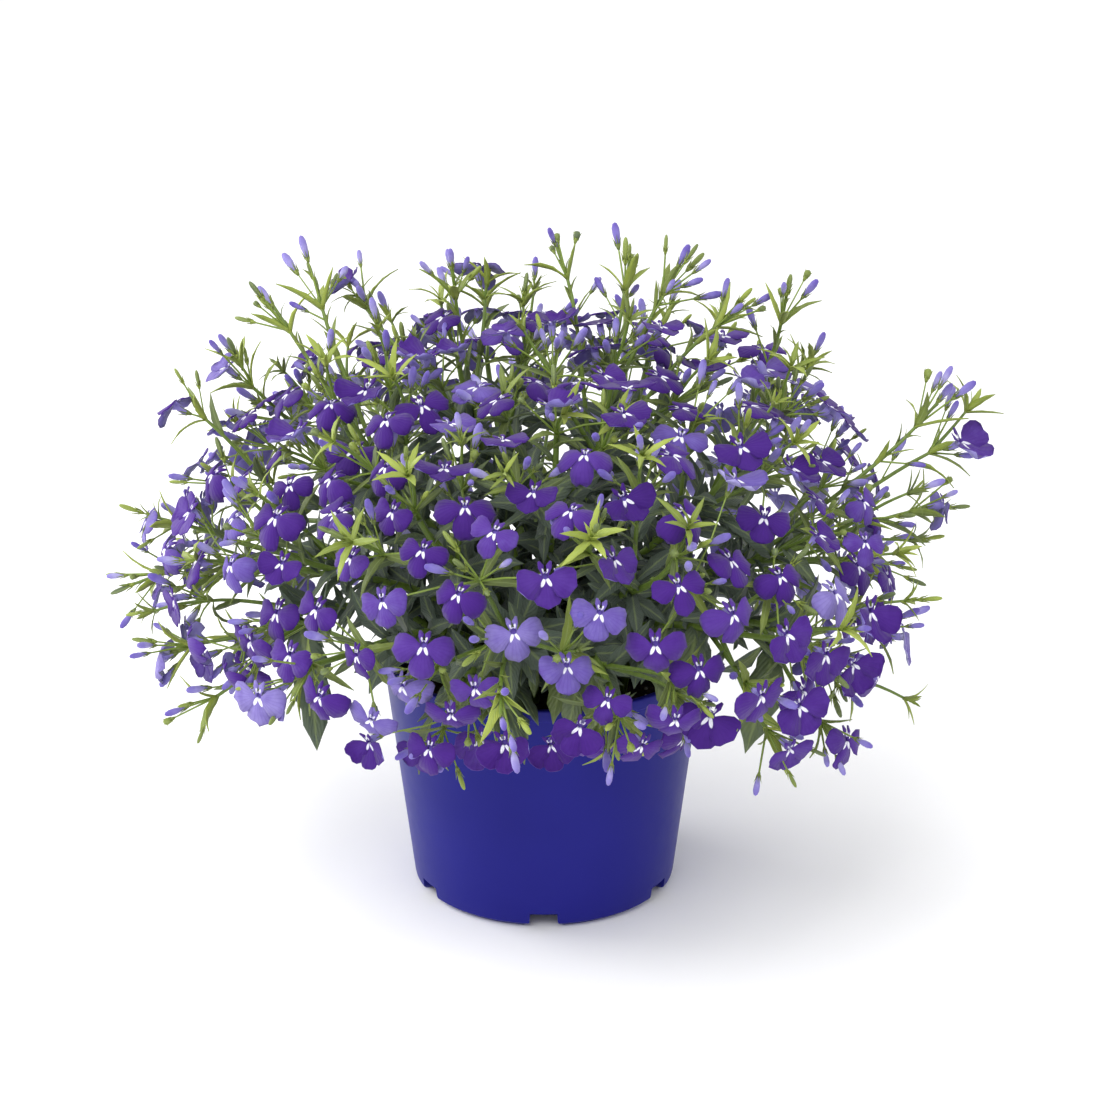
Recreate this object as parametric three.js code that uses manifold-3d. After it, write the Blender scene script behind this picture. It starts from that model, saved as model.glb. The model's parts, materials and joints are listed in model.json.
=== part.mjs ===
// Trailing lobelia growing in a round grower's pot.
// Millimetres, +Z up, origin on the pot's axis in the plane that its foot stands on.
import * as THREE from "three";
import { mergeVertices } from "three/addons/utils/BufferGeometryUtils.js";
import Module from "manifold-3d";

// Pot: a 12 cm round pot, its wall ending in a foot ring with six drainage notches.
const POT_HEIGHT = 92;
const POT_RIM_RADIUS = 60;
const POT_FOOT_RADIUS = 46.5;
const POT_WALL = 1.4;
const POT_RIM_BAND = { height: 5, depth: 0.9 };
const POT_SIDES = 24;
const WALL_RADIUS_AT_FOOT = 49;
const FOOT_ROUNDING = 2.4;
const FLOOR_HEIGHT = 5.6;
const NOTCH = { count: 6, width: 10.2, flare: 2.6, height: 6.2, depth: 9 };
const DRAIN = { count: 6, radius: 3.6, ring: 34, sides: 4 };

// Compost: fills the pot to below its rim, heaped a little in the middle.
const COMPOST_LEVEL = 79;
const COMPOST_HEAP = 3;
const HOLE_RADIUS = 3;
const HOLE_SIDES = 4;
const FIT_GAP = 0.35;

// Flowering dome: the surface that the open blooms lie on.
const DOME_RADIUS = 136;
const DOME_RISE = 91;
const DOME_FALL = 54;
const DOME_CENTRE_HEIGHT = 125;
const DOME_SKIRT_FULLNESS = 0.7;
const DOME_LOWEST_POLAR = (143 * Math.PI) / 180;
const DOME_STEPS = 160;
// The skirt hangs less low on the -Y side, and three shallow bulges run round the dome.
const SKIRT_LIFT = 10;
const BULGE = { count: 3, share: 0.035, twist: 30 };
// Blooms are set back from the dome's surface by up to this much.
const BLOOM_SET_BACK = 13;
const BLOOM_TURN = 1.3;

// Sprays: each one is a leafy stem with its side shoots, blooms and leaves.
const SPRAY_COUNT = 30;
const BLOOM_COUNT = 296;
const ROOT_DISC_RADIUS = 34;
const STEM_SUNK = 7;
const STEM_RINGS = 5;
const STEM_BASE_RADIUS = 1.8;
const STEM_BOW = { rise: 0.45, spread: 1.1, end: 0.35, lift: 0.25 };
const SHOOT_ROOT_RADIUS = 0.75;
const SHOOT_RADIUS = 1.15;
const STALK_RADIUS = 0.6;
const NODE_LENGTH = 1.3;
const NODE_SPACING = 2.2;
const BUD_LENGTH = 11;
const TIP_DEPTH = 15;
const SHOOT_DEPTH = 12;
const SHOOT_STARTS = [0.66, 0.74, 0.58, 0.82, 0.5, 0.9, 0.42, 0.7, 0.54, 0.78];
const SHOOT_STEP = 0.013;
const NEAR_STEM = 22;
const BLOOMS_AT_TIP = 3;
const GOLDEN_ANGLE = Math.PI * (3 - Math.sqrt(5));
const SEED = 20816;

// Bloom: three broad lower lobes and a small upper lip round a throat, on a narrow tube.
// Each outline point is [across, up, forward].
const BLOOM_OUTLINE = [
  [0, 5.8, -0.6],
  [-8.6, 2.2, -0.9],
  [-8.0, -4.4, -1.0],
  [-3.0, -4.0, 0],
  [-3.5, -9.4, -0.7],
  [3.5, -9.4, -0.7],
  [3.0, -4.0, 0],
  [8.0, -4.4, -1.0],
  [8.6, 2.2, -0.9],
];
// Balls that fill the lobes: [across, up, forward, radius].
const BLOOM_FILL = [
  [0, 0, -0.6, 1.8],
  [0, 3.8, -0.4, 1.6],
  [-4.4, 0.4, -0.4, 2.0],
  [4.4, 0.4, -0.4, 2.0],
  [-6.8, 0.6, -0.9, 2.0],
  [6.8, 0.6, -0.9, 2.0],
  [-6.4, -2.6, -0.9, 2.0],
  [6.4, -2.6, -0.9, 2.0],
  [0, -4.0, -0.4, 2.2],
  [-1.8, -7.4, -0.6, 2.0],
  [1.8, -7.4, -0.6, 2.0],
];
const BLOOM_SIZE = { least: 0.9, range: 0.16, loss: 0.1 };
const BLOOM_TILT = 0.34;
const BLOOM_ROLL = 0.45;
const BLOOM_SHIFT = { least: 1, range: 5 };
const THROAT_RISE = 0.5;
const TUBE_LENGTH = 3.6;
const TUBE_RADIUS = 1.25;

// Leaves: narrow toothed leaves near the shoot tips and broad older ones low on the stems.
const NARROW_LEAF = { length: 17, width: 3.4, keel: 0.9 };
const BROAD_LEAF = { length: 26, width: 9.5, keel: 1.0 };
const BROAD_STALK_RADIUS = 0.8;
const BROAD_LEAF_PLACE = 0.6;
const BROAD_LEAF_SLANT = 1.1;
const LEAF_SLANT = 0.75;
const LEAF_BELOW_STALK = 0.6;
const LEAF_SPREAD = 0.25;
const LEAF_ARCH = 0.05;

// Shoots and single blooms that stand clear of the dome, each where its tip is.
const OUTER_SHOOTS = [
  [140, 0, 187],
  [-150, 0, 114],
  [-97, 20, 216],
  [-82, 24, 225],
  [-32, 20, 230],
  [4, 30, 234],
  [31, 25, 232],
  [49, 20, 230],
  [72, 10, 216],
  [85, 12, 222],
  [-12, -146, 126],
  [40, 136, 128],
  [-70, 128, 150],
];
const OUTER_BLOOMS = [
  [151, 0, 172],
  [-133, 5, 185],
  [145, -5, 149],
  [127, -50, 116],
  [120, -50, 94],
  [105, -80, 90],
  [84, -95, 93],
  [-137, -40, 105],
  [-127, -50, 87],
  [-145, 0, 142],
  [-116, 20, 194],
  [-72, 50, 219],
  [-24, 50, 224],
  [92, 112, 150],
  [-60, 128, 118],
  [-8, 138, 150],
];

// Room kept round what is already placed.
const ROOM = 0.45;
const GRID_CELL = 6;
const ROOT_CLEARANCE = 4;
const PARENT_CLEARANCE = 10;
const STALK_SPACING = (40 * Math.PI) / 180;
const SHORTEST_STALK = 5;
const TRIES = 40;
const LEAF_TRIES = 8;

const wasm = await Module();
wasm.setup();

const random = randomSource(SEED);
const profile = domeProfile();

const materials = {
  pot: new THREE.MeshStandardMaterial({ color: 0x2c2c88, roughness: 0.42, metalness: 0 }),
  compost: new THREE.MeshStandardMaterial({ color: 0x2b2018, roughness: 0.95, metalness: 0 }),
  foliage: new THREE.MeshStandardMaterial({ color: 0x6f7f3c, roughness: 0.6, metalness: 0 }),
};

/** A repeatable source of numbers from 0 to 1. */
function randomSource(seed) {
  let state = seed;
  return () => {
    state = (state * 48271) % 2147483647;
    return state / 2147483647;
  };
}

function spread(size) {
  return (random() * 2 - 1) * size;
}

function vec(x, y, z) {
  return new THREE.Vector3(x, y, z);
}

function along(start, direction, distance) {
  return start.clone().addScaledVector(direction, distance);
}

/** Turn a closed geometry into a solid that can be joined and cut. */
function solidOf(geometry) {
  const bare = geometry.clone();
  bare.deleteAttribute("normal");
  bare.deleteAttribute("uv");
  const merged = mergeVertices(bare, 1e-4);
  return new wasm.Manifold(
    new wasm.Mesh({
      numProp: 3,
      vertProperties: new Float32Array(merged.attributes.position.array),
      triVerts: new Uint32Array(merged.index.array),
    }),
  );
}

function meshOf(solid, name, material) {
  const made = solid.getMesh();
  const geometry = new THREE.BufferGeometry();
  geometry.setAttribute("position", new THREE.BufferAttribute(new Float32Array(made.vertProperties), 3));
  geometry.setIndex(new THREE.BufferAttribute(new Uint32Array(made.triVerts), 1));
  geometry.computeVertexNormals();
  const mesh = new THREE.Mesh(geometry, material);
  mesh.name = name;
  return mesh;
}

/** A closed body put together from rings of points and the faces between them. */
class Body {
  points = [];
  faces = [];

  ring(points) {
    const first = this.points.length;
    this.points.push(...points);
    return points.map((_, i) => first + i);
  }

  /** Faces between two rings that run the same way round; a ring of one point is a sharp end. */
  band(lower, upper) {
    let a = 0;
    let b = 0;
    while (a < lower.length || b < upper.length) {
      const corner = [lower[a % lower.length], upper[b % upper.length]];
      const behind = (a + 1) / lower.length <= (b + 1) / upper.length;
      if (b >= upper.length || (a < lower.length && behind)) {
        a += 1;
        this.face(corner[0], lower[a % lower.length], corner[1]);
      } else {
        b += 1;
        this.face(corner[0], upper[b % upper.length], corner[1]);
      }
    }
  }

  face(a, b, c) {
    if (a !== b && b !== c && c !== a) {
      this.faces.push([a, b, c]);
    }
  }

  /** Close the first ring of a body, whose outside is behind it. */
  close(ring) {
    for (let i = 1; i + 1 < ring.length; i++) {
      this.face(ring[0], ring[i + 1], ring[i]);
    }
  }

  solid() {
    const geometry = new THREE.BufferGeometry();
    const flat = new Float32Array(this.points.flatMap((point) => [point.x, point.y, point.z]));
    geometry.setAttribute("position", new THREE.BufferAttribute(flat, 3));
    geometry.setIndex(this.faces.flat());
    return solidOf(geometry);
  }
}

/** Turn the start of a ring so that it lies best over another ring of the same length. */
function alignedTo(base, ring) {
  const baseMiddle = middleOf(base);
  const ringMiddle = middleOf(ring);
  let best = ring;
  let bestFit = -Infinity;
  for (let turn = 0; turn < ring.length; turn++) {
    const turned = [...ring.slice(turn), ...ring.slice(0, turn)];
    let fit = 0;
    for (let i = 0; i < base.length; i++) {
      const spoke = turned[Math.floor((i * ring.length) / base.length)].clone().sub(ringMiddle);
      fit += base[i].clone().sub(baseMiddle).dot(spoke);
    }
    if (fit > bestFit) {
      bestFit = fit;
      best = turned;
    }
  }
  return best;
}

/** Two directions square to the given one. */
function squareTo(direction) {
  const helper = Math.abs(direction.z) < 0.9 ? vec(0, 0, 1) : vec(1, 0, 0);
  const side = helper.clone().cross(direction).normalize();
  const top = direction.clone().cross(side).normalize();
  return [side, top];
}

/** Three corners of a stem round a centre, in the plane of two directions, from a starting angle on. */
function ringOf(centre, frame, radius, start) {
  return [0, 1, 2].map((corner) => {
    return along(centre, outwards(start + (corner * 2 * Math.PI) / 3, frame), radius);
  });
}

/** The direction at an angle in the plane of two directions. */
function outwards(angle, [side, top]) {
  return side.clone().multiplyScalar(Math.cos(angle)).addScaledVector(top, Math.sin(angle));
}

/** Point and outward direction of the dome, at a share of its area counted from the top. */
function domeSpot(share, azimuth) {
  let row = 1;
  while (row < DOME_STEPS && profile[row].share < share) {
    row += 1;
  }
  const above = profile[row - 1];
  const below = profile[row];
  const part = (share - above.share) / (below.share - above.share);
  const radius = above.radius + (below.radius - above.radius) * part;
  const height = above.height + (below.height - above.height) * part;
  const fall = above.height - below.height;
  const run = below.radius - above.radius;
  const cos = Math.cos(azimuth);
  const sin = Math.sin(azimuth);
  return {
    point: vec(radius * cos, radius * sin, height),
    normal: vec(fall * cos, fall * sin, run).normalize(),
  };
}

function domeProfile() {
  const rows = [];
  let area = 0;
  for (let i = 0; i <= DOME_STEPS; i++) {
    const polar = (DOME_LOWEST_POLAR * i) / DOME_STEPS;
    const below = polar > Math.PI / 2;
    const radius = DOME_RADIUS * Math.sin(polar) ** (below ? DOME_SKIRT_FULLNESS : 1);
    const height = DOME_CENTRE_HEIGHT + (below ? DOME_FALL : DOME_RISE) * Math.cos(polar);
    if (i > 0) {
      const last = rows[i - 1];
      area += (last.radius + radius) * Math.hypot(radius - last.radius, height - last.height);
    }
    rows.push({ radius, height, area });
  }
  for (const row of rows) {
    row.share = row.area / area;
  }
  return rows;
}

// Everything placed so far, as small balls in a grid of cells. Each piece owns its own balls.
const taken = new Map();
let owners = 0;

function newOwner() {
  owners += 1;
  return owners;
}

function cellOf(value) {
  return Math.floor(value / GRID_CELL);
}

function keyOf(i, j, k) {
  return (i + 500) * 1000000 + (j + 500) * 1000 + (k + 500);
}

function occupy(balls) {
  for (const ball of balls) {
    const key = keyOf(cellOf(ball.at.x), cellOf(ball.at.y), cellOf(ball.at.z));
    if (!taken.has(key)) {
      taken.set(key, []);
    }
    taken.get(key).push(ball);
  }
}

/** True where no ball comes too near one that is placed. Near its root, a piece may meet its parent. */
function isClear(balls, root, parent) {
  for (const ball of balls) {
    if (root && ball.at.distanceTo(root) < ROOT_CLEARANCE) {
      continue;
    }
    const i = cellOf(ball.at.x) - 1;
    const j = cellOf(ball.at.y) - 1;
    const k = cellOf(ball.at.z) - 1;
    for (let step = 0; step < 27; step++) {
      const key = keyOf(i + (step % 3), j + (Math.floor(step / 3) % 3), k + Math.floor(step / 9));
      for (const other of taken.get(key) ?? []) {
        const reach = ball.radius + other.radius + ROOM;
        const near = ball.at.distanceToSquared(other.at) < reach * reach;
        if (near && !(other.owner === parent && other.at.distanceTo(root) < PARENT_CLEARANCE)) {
          return false;
        }
      }
    }
  }
  return true;
}

/** Balls along a straight piece, from one end to the other. */
function ballsAlong(start, end, radius, owner) {
  const count = Math.max(1, Math.ceil(start.distanceTo(end) / (radius * 1.8)));
  const balls = [];
  for (let i = 0; i <= count; i++) {
    balls.push({ at: start.clone().lerp(end, i / count), radius, owner });
  }
  return balls;
}

/** A point on a cubic curve given by its four control points. */
function curvePoint(controls, t) {
  return new THREE.CubicBezierCurve3(...controls).getPoint(t);
}

/** Where a spray's stem starts, how it runs and where it ends under the dome. */
function planStem(index) {
  const share = (index + 0.5) / SPRAY_COUNT;
  const azimuth = index * GOLDEN_ANGLE;
  const spot = domeSpot(share, azimuth);
  const rootRadius = ROOT_DISC_RADIUS * Math.sqrt(share);
  const root = vec(rootRadius * Math.cos(azimuth), rootRadius * Math.sin(azimuth), COMPOST_LEVEL + 1);
  const tip = along(spot.point, spot.normal, -TIP_DEPTH);
  const heading = spot.normal.clone().add(vec(0, 0, STEM_BOW.lift)).normalize();
  const reach = root.distanceTo(tip);
  const controls = [
    root,
    vec(root.x * STEM_BOW.spread, root.y * STEM_BOW.spread, root.z + reach * STEM_BOW.rise),
    along(tip, heading, -reach * STEM_BOW.end),
    tip,
  ];
  const points = [];
  for (let ring = 0; ring < STEM_RINGS; ring++) {
    points.push(curvePoint(controls, ring / (STEM_RINGS - 1)));
  }
  const way = tip.clone().sub(points[STEM_RINGS - 2]).normalize().add(spot.normal).normalize();
  const leader = { owner: newOwner(), end: tip, tip: along(tip, way, NODE_LENGTH), way, blooms: [] };
  return { index, leader, spot, tip, points, seeds: [], shoots: [], broadLeaves: [] };
}

/** A place on a spray's stem, at a share of its length. */
function stemPoint(spray, t) {
  const place = t * (STEM_RINGS - 1);
  const ring = Math.min(Math.floor(place), STEM_RINGS - 2);
  return spray.points[ring].clone().lerp(spray.points[ring + 1], place - ring);
}

function nearestSpray(sprays, point) {
  let best = sprays[0];
  for (const spray of sprays) {
    if (spray.spot.point.distanceToSquared(point) < best.spot.point.distanceToSquared(point)) {
      best = spray;
    }
  }
  return best;
}

/** The seeds of the blooms: a place on the dome and the way it faces. */
function bloomSeeds() {
  const seeds = OUTER_BLOOMS.map(([x, y, z]) => {
    const normal = vec(x, y, (z - DOME_CENTRE_HEIGHT) * 1.3).normalize();
    return { at: vec(x, y, z), normal, outer: true };
  });
  for (let i = 0; i < BLOOM_COUNT; i++) {
    const azimuth = i * GOLDEN_ANGLE + BLOOM_TURN;
    const spot = domeSpot((i + 0.5) / BLOOM_COUNT, azimuth);
    const { x, y, z } = spot.point;
    const wave = 1 + BULGE.share * Math.sin(BULGE.count * Math.atan2(y, x) + z / BULGE.twist);
    const hang = Math.max(0, (DOME_CENTRE_HEIGHT - z) / DOME_FALL) * Math.max(0, -Math.sin(azimuth));
    const depth = random() ** 2 * BLOOM_SET_BACK;
    const at = vec(x * wave, y * wave, z + SKIRT_LIFT * hang);
    seeds.push({ at: along(at, spot.normal, -depth), normal: spot.normal, outer: false });
  }
  return seeds;
}

/** Share a spray's blooms out: some to the main tip, the others to side shoots, by direction. */
function planShoots(spray) {
  const [side, top] = squareTo(spray.spot.normal);
  for (const seed of spray.seeds) {
    const offset = seed.at.clone().sub(spray.tip);
    const aside = offset.clone().addScaledVector(spray.spot.normal, -offset.dot(spray.spot.normal));
    seed.aside = aside.length();
    seed.angle = Math.atan2(aside.dot(top), aside.dot(side));
    seed.shoot = null;
  }
  const own = spray.seeds.filter((seed) => !seed.outer).sort((a, b) => a.aside - b.aside);
  const near = own.filter((seed, i) => i < BLOOMS_AT_TIP && seed.aside < NEAR_STEM);
  for (const seed of near) {
    seed.shoot = spray.leader;
  }
  const far = own.slice(near.length).sort((a, b) => a.angle - b.angle);
  const shootCount = Math.ceil(far.length / BLOOMS_AT_TIP);
  const groups = Array.from({ length: shootCount }, () => []);
  far.forEach((seed, i) => groups[Math.floor((i * shootCount) / far.length)].push(seed));
  for (const group of groups) {
    const middle = vec(0, 0, 0);
    const normal = vec(0, 0, 0);
    for (const seed of group) {
      middle.addScaledVector(seed.at, 1 / group.length);
      normal.add(seed.normal);
    }
    addShoot(spray, along(middle, normal.normalize(), -SHOOT_DEPTH), normal, group, NODE_LENGTH);
  }
  for (const seed of spray.seeds.filter((one) => one.outer)) {
    addShoot(spray, along(seed.at, seed.normal, -SHOOT_DEPTH), seed.normal, [seed], NODE_LENGTH);
  }
}

/** One side shoot, started lower or higher on the stem until its way is clear. */
function addShoot(spray, end, heading, group, tipLength) {
  for (const start of SHOOT_STARTS) {
    const root = stemPoint(spray, start + spray.shoots.length * SHOOT_STEP);
    const way = end.clone().sub(root).normalize().add(heading.clone().normalize()).normalize();
    const tip = along(end, way, tipLength);
    const owner = newOwner();
    const balls = ballsAlong(root, end, SHOOT_RADIUS, owner);
    balls.push(...ballsAlong(end, tip, SHOOT_RADIUS, owner));
    if (isClear(balls, root, spray.leader.owner)) {
      const shoot = { owner, root, end, tip, way, blooms: [] };
      occupy(balls);
      spray.shoots.push(shoot);
      for (const seed of group) {
        seed.shoot = shoot;
      }
      return;
    }
  }
}

/** The shoot that can carry a bloom: its own, or the nearest of its spray with a free face. */
function shootFor(spray, seed) {
  const open = [spray.leader, ...spray.shoots].filter((one) => one.blooms.length < BLOOMS_AT_TIP);
  if (seed.shoot && open.includes(seed.shoot)) {
    return seed.shoot;
  }
  open.sort((a, b) => a.end.distanceTo(seed.at) - b.end.distanceTo(seed.at));
  return open[0];
}

/** Frame of a bloom: the way it faces, the way its lower lip points, and across. */
function bloomFrame(normal, tilt, roll) {
  const level = vec(normal.x, normal.y, Math.max(normal.z, -0.1) + 0.1);
  const facing = level.normalize().add(tilt).normalize();
  const outward = vec(facing.x, facing.y, 0).normalize();
  const fall = vec(0, 0, -1).addScaledVector(outward, 0.6);
  const down = fall.addScaledVector(facing, -fall.dot(facing)).normalize();
  const across = facing.clone().cross(down);
  const lip = down.clone().multiplyScalar(Math.cos(roll)).addScaledVector(across, Math.sin(roll));
  return { facing, lip, across: facing.clone().cross(lip).normalize() };
}

function bloomPoint(bloom, across, up, forward) {
  const point = along(bloom.at, bloom.across, across * bloom.size);
  point.addScaledVector(bloom.lip, -up * bloom.size);
  return point.addScaledVector(bloom.facing, forward * bloom.size);
}

/** Balls that fill a bloom's lobes. */
function bloomBalls(bloom, owner) {
  return BLOOM_FILL.map(([across, up, forward, radius]) => ({
    at: bloomPoint(bloom, across, up, forward),
    radius: radius * bloom.size,
    owner,
  }));
}

/** Open one bloom near its seed, turned and set back until it is clear of all others. */
function addBloom(shoot, seed) {
  for (let attempt = 0; attempt < TRIES; attempt++) {
    const ease = attempt / TRIES;
    const tilt = vec(spread(BLOOM_TILT), spread(BLOOM_TILT), spread(BLOOM_TILT));
    const frame = bloomFrame(seed.normal, tilt, spread(BLOOM_ROLL));
    const shift = seed.outer ? 0 : BLOOM_SHIFT.least + BLOOM_SHIFT.range * ease;
    const at = seed.at.clone().add(vec(spread(shift), spread(shift), spread(shift)));
    const size = (BLOOM_SIZE.least + BLOOM_SIZE.range * random()) * (1 - BLOOM_SIZE.loss * ease);
    const bloom = { at, size, ...frame };
    const owner = newOwner();
    const petals = bloomBalls(bloom, owner);
    const neck = bloomPoint(bloom, 0, 0, -TUBE_LENGTH);
    const way = neck.clone().sub(shoot.end).normalize();
    const stalk = ballsAlong(neck, shoot.end, STALK_RADIUS, owner);
    const long = neck.distanceTo(shoot.end) > SHORTEST_STALK;
    const usable = long && way.dot(bloom.facing) > 0.5 && hasRoomFor(shoot, way);
    if (usable && isClear(petals, null, null) && isClear(stalk, shoot.end, shoot.owner)) {
      occupy(petals);
      occupy(stalk);
      shoot.blooms.push({ ...bloom, neck, way });
      return true;
    }
  }
  return false;
}

/** True where a stalk would leave a shoot forwards and well apart, round the shoot, from the others. */
function hasRoomFor(shoot, way) {
  const frame = squareTo(shoot.way);
  const azimuth = azimuthIn(way, frame);
  const forward = way.dot(shoot.way);
  return (
    forward > 0.05 &&
    forward < 0.97 &&
    shoot.blooms.every((bloom) => {
      const apart = wrapped(azimuthIn(bloom.way, frame) - azimuth);
      return apart > STALK_SPACING && apart < 2 * Math.PI - STALK_SPACING;
    })
  );
}

/** One leaf on a shoot: it leaves at a slant to the shoot, with its blade across it. */
function addLeaf(shoot, base, kind, slant, azimuth) {
  const frame = squareTo(shoot.way);
  for (let attempt = 0; attempt < LEAF_TRIES; attempt++) {
    const out = outwards(azimuth + spread(LEAF_SPREAD), frame);
    const lean = slant + (0.5 * random() * attempt) / LEAF_TRIES;
    const way = shoot.way.clone().multiplyScalar(Math.cos(lean)).addScaledVector(out, Math.sin(lean));
    const length = kind.length * (0.8 + 0.35 * random());
    const across = shoot.way.clone().cross(out).normalize();
    const upper = way.clone().cross(across).normalize();
    const middle = along(along(base, way, length / 2), upper, length * LEAF_ARCH);
    const tip = along(base, way, length);
    const half = kind.width * 0.4;
    const owner = newOwner();
    const balls = ballsAlong(base, middle, Math.min(half, 1.4), owner);
    balls.push(...ballsAlong(middle, tip, 1.1, owner));
    for (const sign of half > 2 ? [-1, 1] : []) {
      balls.push({ at: along(middle, across, sign * half * 0.7), radius: half * 0.5, owner });
    }
    if (isClear(balls, base, shoot.owner)) {
      occupy(balls);
      return { base, middle, tip, way, across, upper, kind };
    }
  }
  return null;
}

/** Build a bloom onto three corners that are already there. */
function growBloom(body, corners, bloom) {
  const outline = BLOOM_OUTLINE.map(([across, up, forward]) => bloomPoint(bloom, across, up, forward));
  const start = corners.map((corner) => body.points[corner]);
  const middle = middleOf(start);
  const neckRing = start.map((corner) => {
    const spoke = corner.clone().sub(middle);
    spoke.addScaledVector(bloom.way, -spoke.dot(bloom.way)).normalize();
    return along(bloom.neck, spoke, TUBE_RADIUS);
  });
  const neck = body.ring(neckRing);
  const face = body.ring(alignedTo(neckRing, outline));
  body.band(corners, neck);
  body.band(neck, face);
  body.band(face, body.ring([bloomPoint(bloom, 0, 0, THROAT_RISE)]));
}

/** Build a leaf onto three corners that are already there: left, lowest and right. */
function growLeaf(body, corners, leaf) {
  const half = leaf.kind.width / 2;
  const blade = body.ring([
    along(leaf.middle, leaf.across, -half),
    along(leaf.middle, leaf.upper, -leaf.kind.keel),
    along(leaf.middle, leaf.across, half),
  ]);
  body.band(corners, blade);
  body.band(blade, body.ring([leaf.tip]));
}

/** Directions round a shoot's end, in order: one for each stalk, and others between, to make three. */
function nodeAzimuths(shoot) {
  const frame = squareTo(shoot.way);
  const azimuths = shoot.blooms.map((bloom) => wrapped(azimuthIn(bloom.way, frame)));
  azimuths.sort((a, b) => a - b);
  while (azimuths.length < 3) {
    const gaps = azimuths.map((azimuth, i) => gapAfter(azimuths, i));
    const widest = gaps.length ? gaps.indexOf(Math.max(...gaps)) : 0;
    const share = azimuths.length === 1 ? 1 / 3 : 1 / 2;
    azimuths.push(azimuths.length ? wrapped(azimuths[widest] + gaps[widest] * share) : 0);
    azimuths.sort((a, b) => a - b);
  }
  return azimuths;
}

/** The turn from one direction of a list to the next one round. */
function gapAfter(azimuths, i) {
  return i + 1 < azimuths.length ? azimuths[i + 1] - azimuths[i] : azimuths[0] + 2 * Math.PI - azimuths[i];
}

function azimuthIn(way, [side, top]) {
  return Math.atan2(way.dot(top), way.dot(side));
}

function wrapped(angle) {
  return ((angle % (2 * Math.PI)) + 2 * Math.PI) % (2 * Math.PI);
}

function middleOf(points) {
  return points.reduce((total, point) => total.add(point), vec(0, 0, 0)).multiplyScalar(1 / points.length);
}

/** A shoot through the given points, with its blooms on the faces of its tip and leaves below. */
function shootSolid(shoot, points, radii, sideways) {
  const body = new Body();
  const frames = points.map((point, i) => {
    const before = points[Math.max(i - 1, 0)];
    const after = points[Math.min(i + 1, points.length - 1)];
    const direction = after.clone().sub(before).normalize();
    const top = direction.clone().cross(sideways).normalize();
    return [top.clone().cross(direction), top];
  });
  const azimuths = nodeAzimuths(shoot);
  const tipFrame = squareTo(shoot.way);
  const corner = (azimuth, centre) => along(centre, outwards(azimuth, tipFrame), SHOOT_RADIUS);
  const corners = azimuths.map((azimuth, i) => azimuth - gapAfter(azimuths, (i + 2) % 3) / 2);
  const upper = corners.map((azimuth) => corner(azimuth, shoot.end));
  const below = along(shoot.end, shoot.way, -NODE_SPACING);
  const lower = corners.map((azimuth, i) => corner(azimuth + gapAfter(corners, i) / 2, below));
  const start = azimuthIn(lower[0].clone().sub(middleOf(lower)), frames[frames.length - 1]);
  const rings = points.slice(0, -1).map((point, i) => ringOf(point, frames[i], radii[i], start));
  const made = rings.map((ring) => body.ring(ring));
  const low = body.ring(lower);
  const high = body.ring(upper);
  const [apex] = body.ring([shoot.tip]);
  body.close(made[0]);
  for (let i = 0; i + 1 < made.length; i++) {
    body.band(made[i], made[i + 1]);
  }
  body.band(made[made.length - 1], low);
  for (let i = 0; i < 3; i++) {
    const next = (i + 1) % 3;
    const tipFace = [high[i], high[next], apex];
    const bloom = shoot.blooms.find((one) => wrapped(azimuthIn(one.way, tipFrame)) === azimuths[i]);
    if (bloom) {
      growBloom(body, tipFace, bloom);
    } else {
      body.face(...tipFace);
    }
    const sideFace = [high[i], low[i], high[next]];
    const leaf = shoot.leaves[i];
    if (leaf) {
      growLeaf(body, sideFace, leaf);
    } else {
      body.face(...sideFace);
    }
    body.face(low[i], low[next], high[next]);
  }
  return body.solid();
}

/** Join a spray's stem, side shoots, blooms and leaves into one body. */
function spraySolid(spray) {
  const foot = spray.points[0].clone().setZ(COMPOST_LEVEL + 1 - STEM_SUNK);
  const points = [foot, ...spray.points];
  const radii = points.map((point, i) => {
    return STEM_BASE_RADIUS + ((SHOOT_RADIUS - STEM_BASE_RADIUS) * i) / (points.length - 1);
  });
  const sideways = vec(-spray.tip.y, spray.tip.x, 0).normalize();
  let solid = shootSolid(spray.leader, points, radii, sideways);
  for (const shoot of spray.shoots) {
    const [sideways] = squareTo(shoot.end.clone().sub(shoot.root).normalize());
    const radii = [SHOOT_ROOT_RADIUS, SHOOT_RADIUS];
    solid = solid.add(shootSolid(shoot, [shoot.root, shoot.end], radii, sideways));
  }
  for (const leaf of spray.broadLeaves) {
    solid = solid.add(broadLeafSolid(leaf));
  }
  return solid;
}

/** A broad leaf with a sunk stalk. */
function broadLeafSolid(leaf) {
  const body = new Body();
  const stalk = body.ring([
    along(leaf.base, leaf.across, -BROAD_STALK_RADIUS),
    along(leaf.base, leaf.upper, -BROAD_STALK_RADIUS * 1.5),
    along(leaf.base, leaf.across, BROAD_STALK_RADIUS),
  ]);
  body.close(stalk);
  growLeaf(body, stalk, leaf);
  return body.solid();
}

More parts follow.
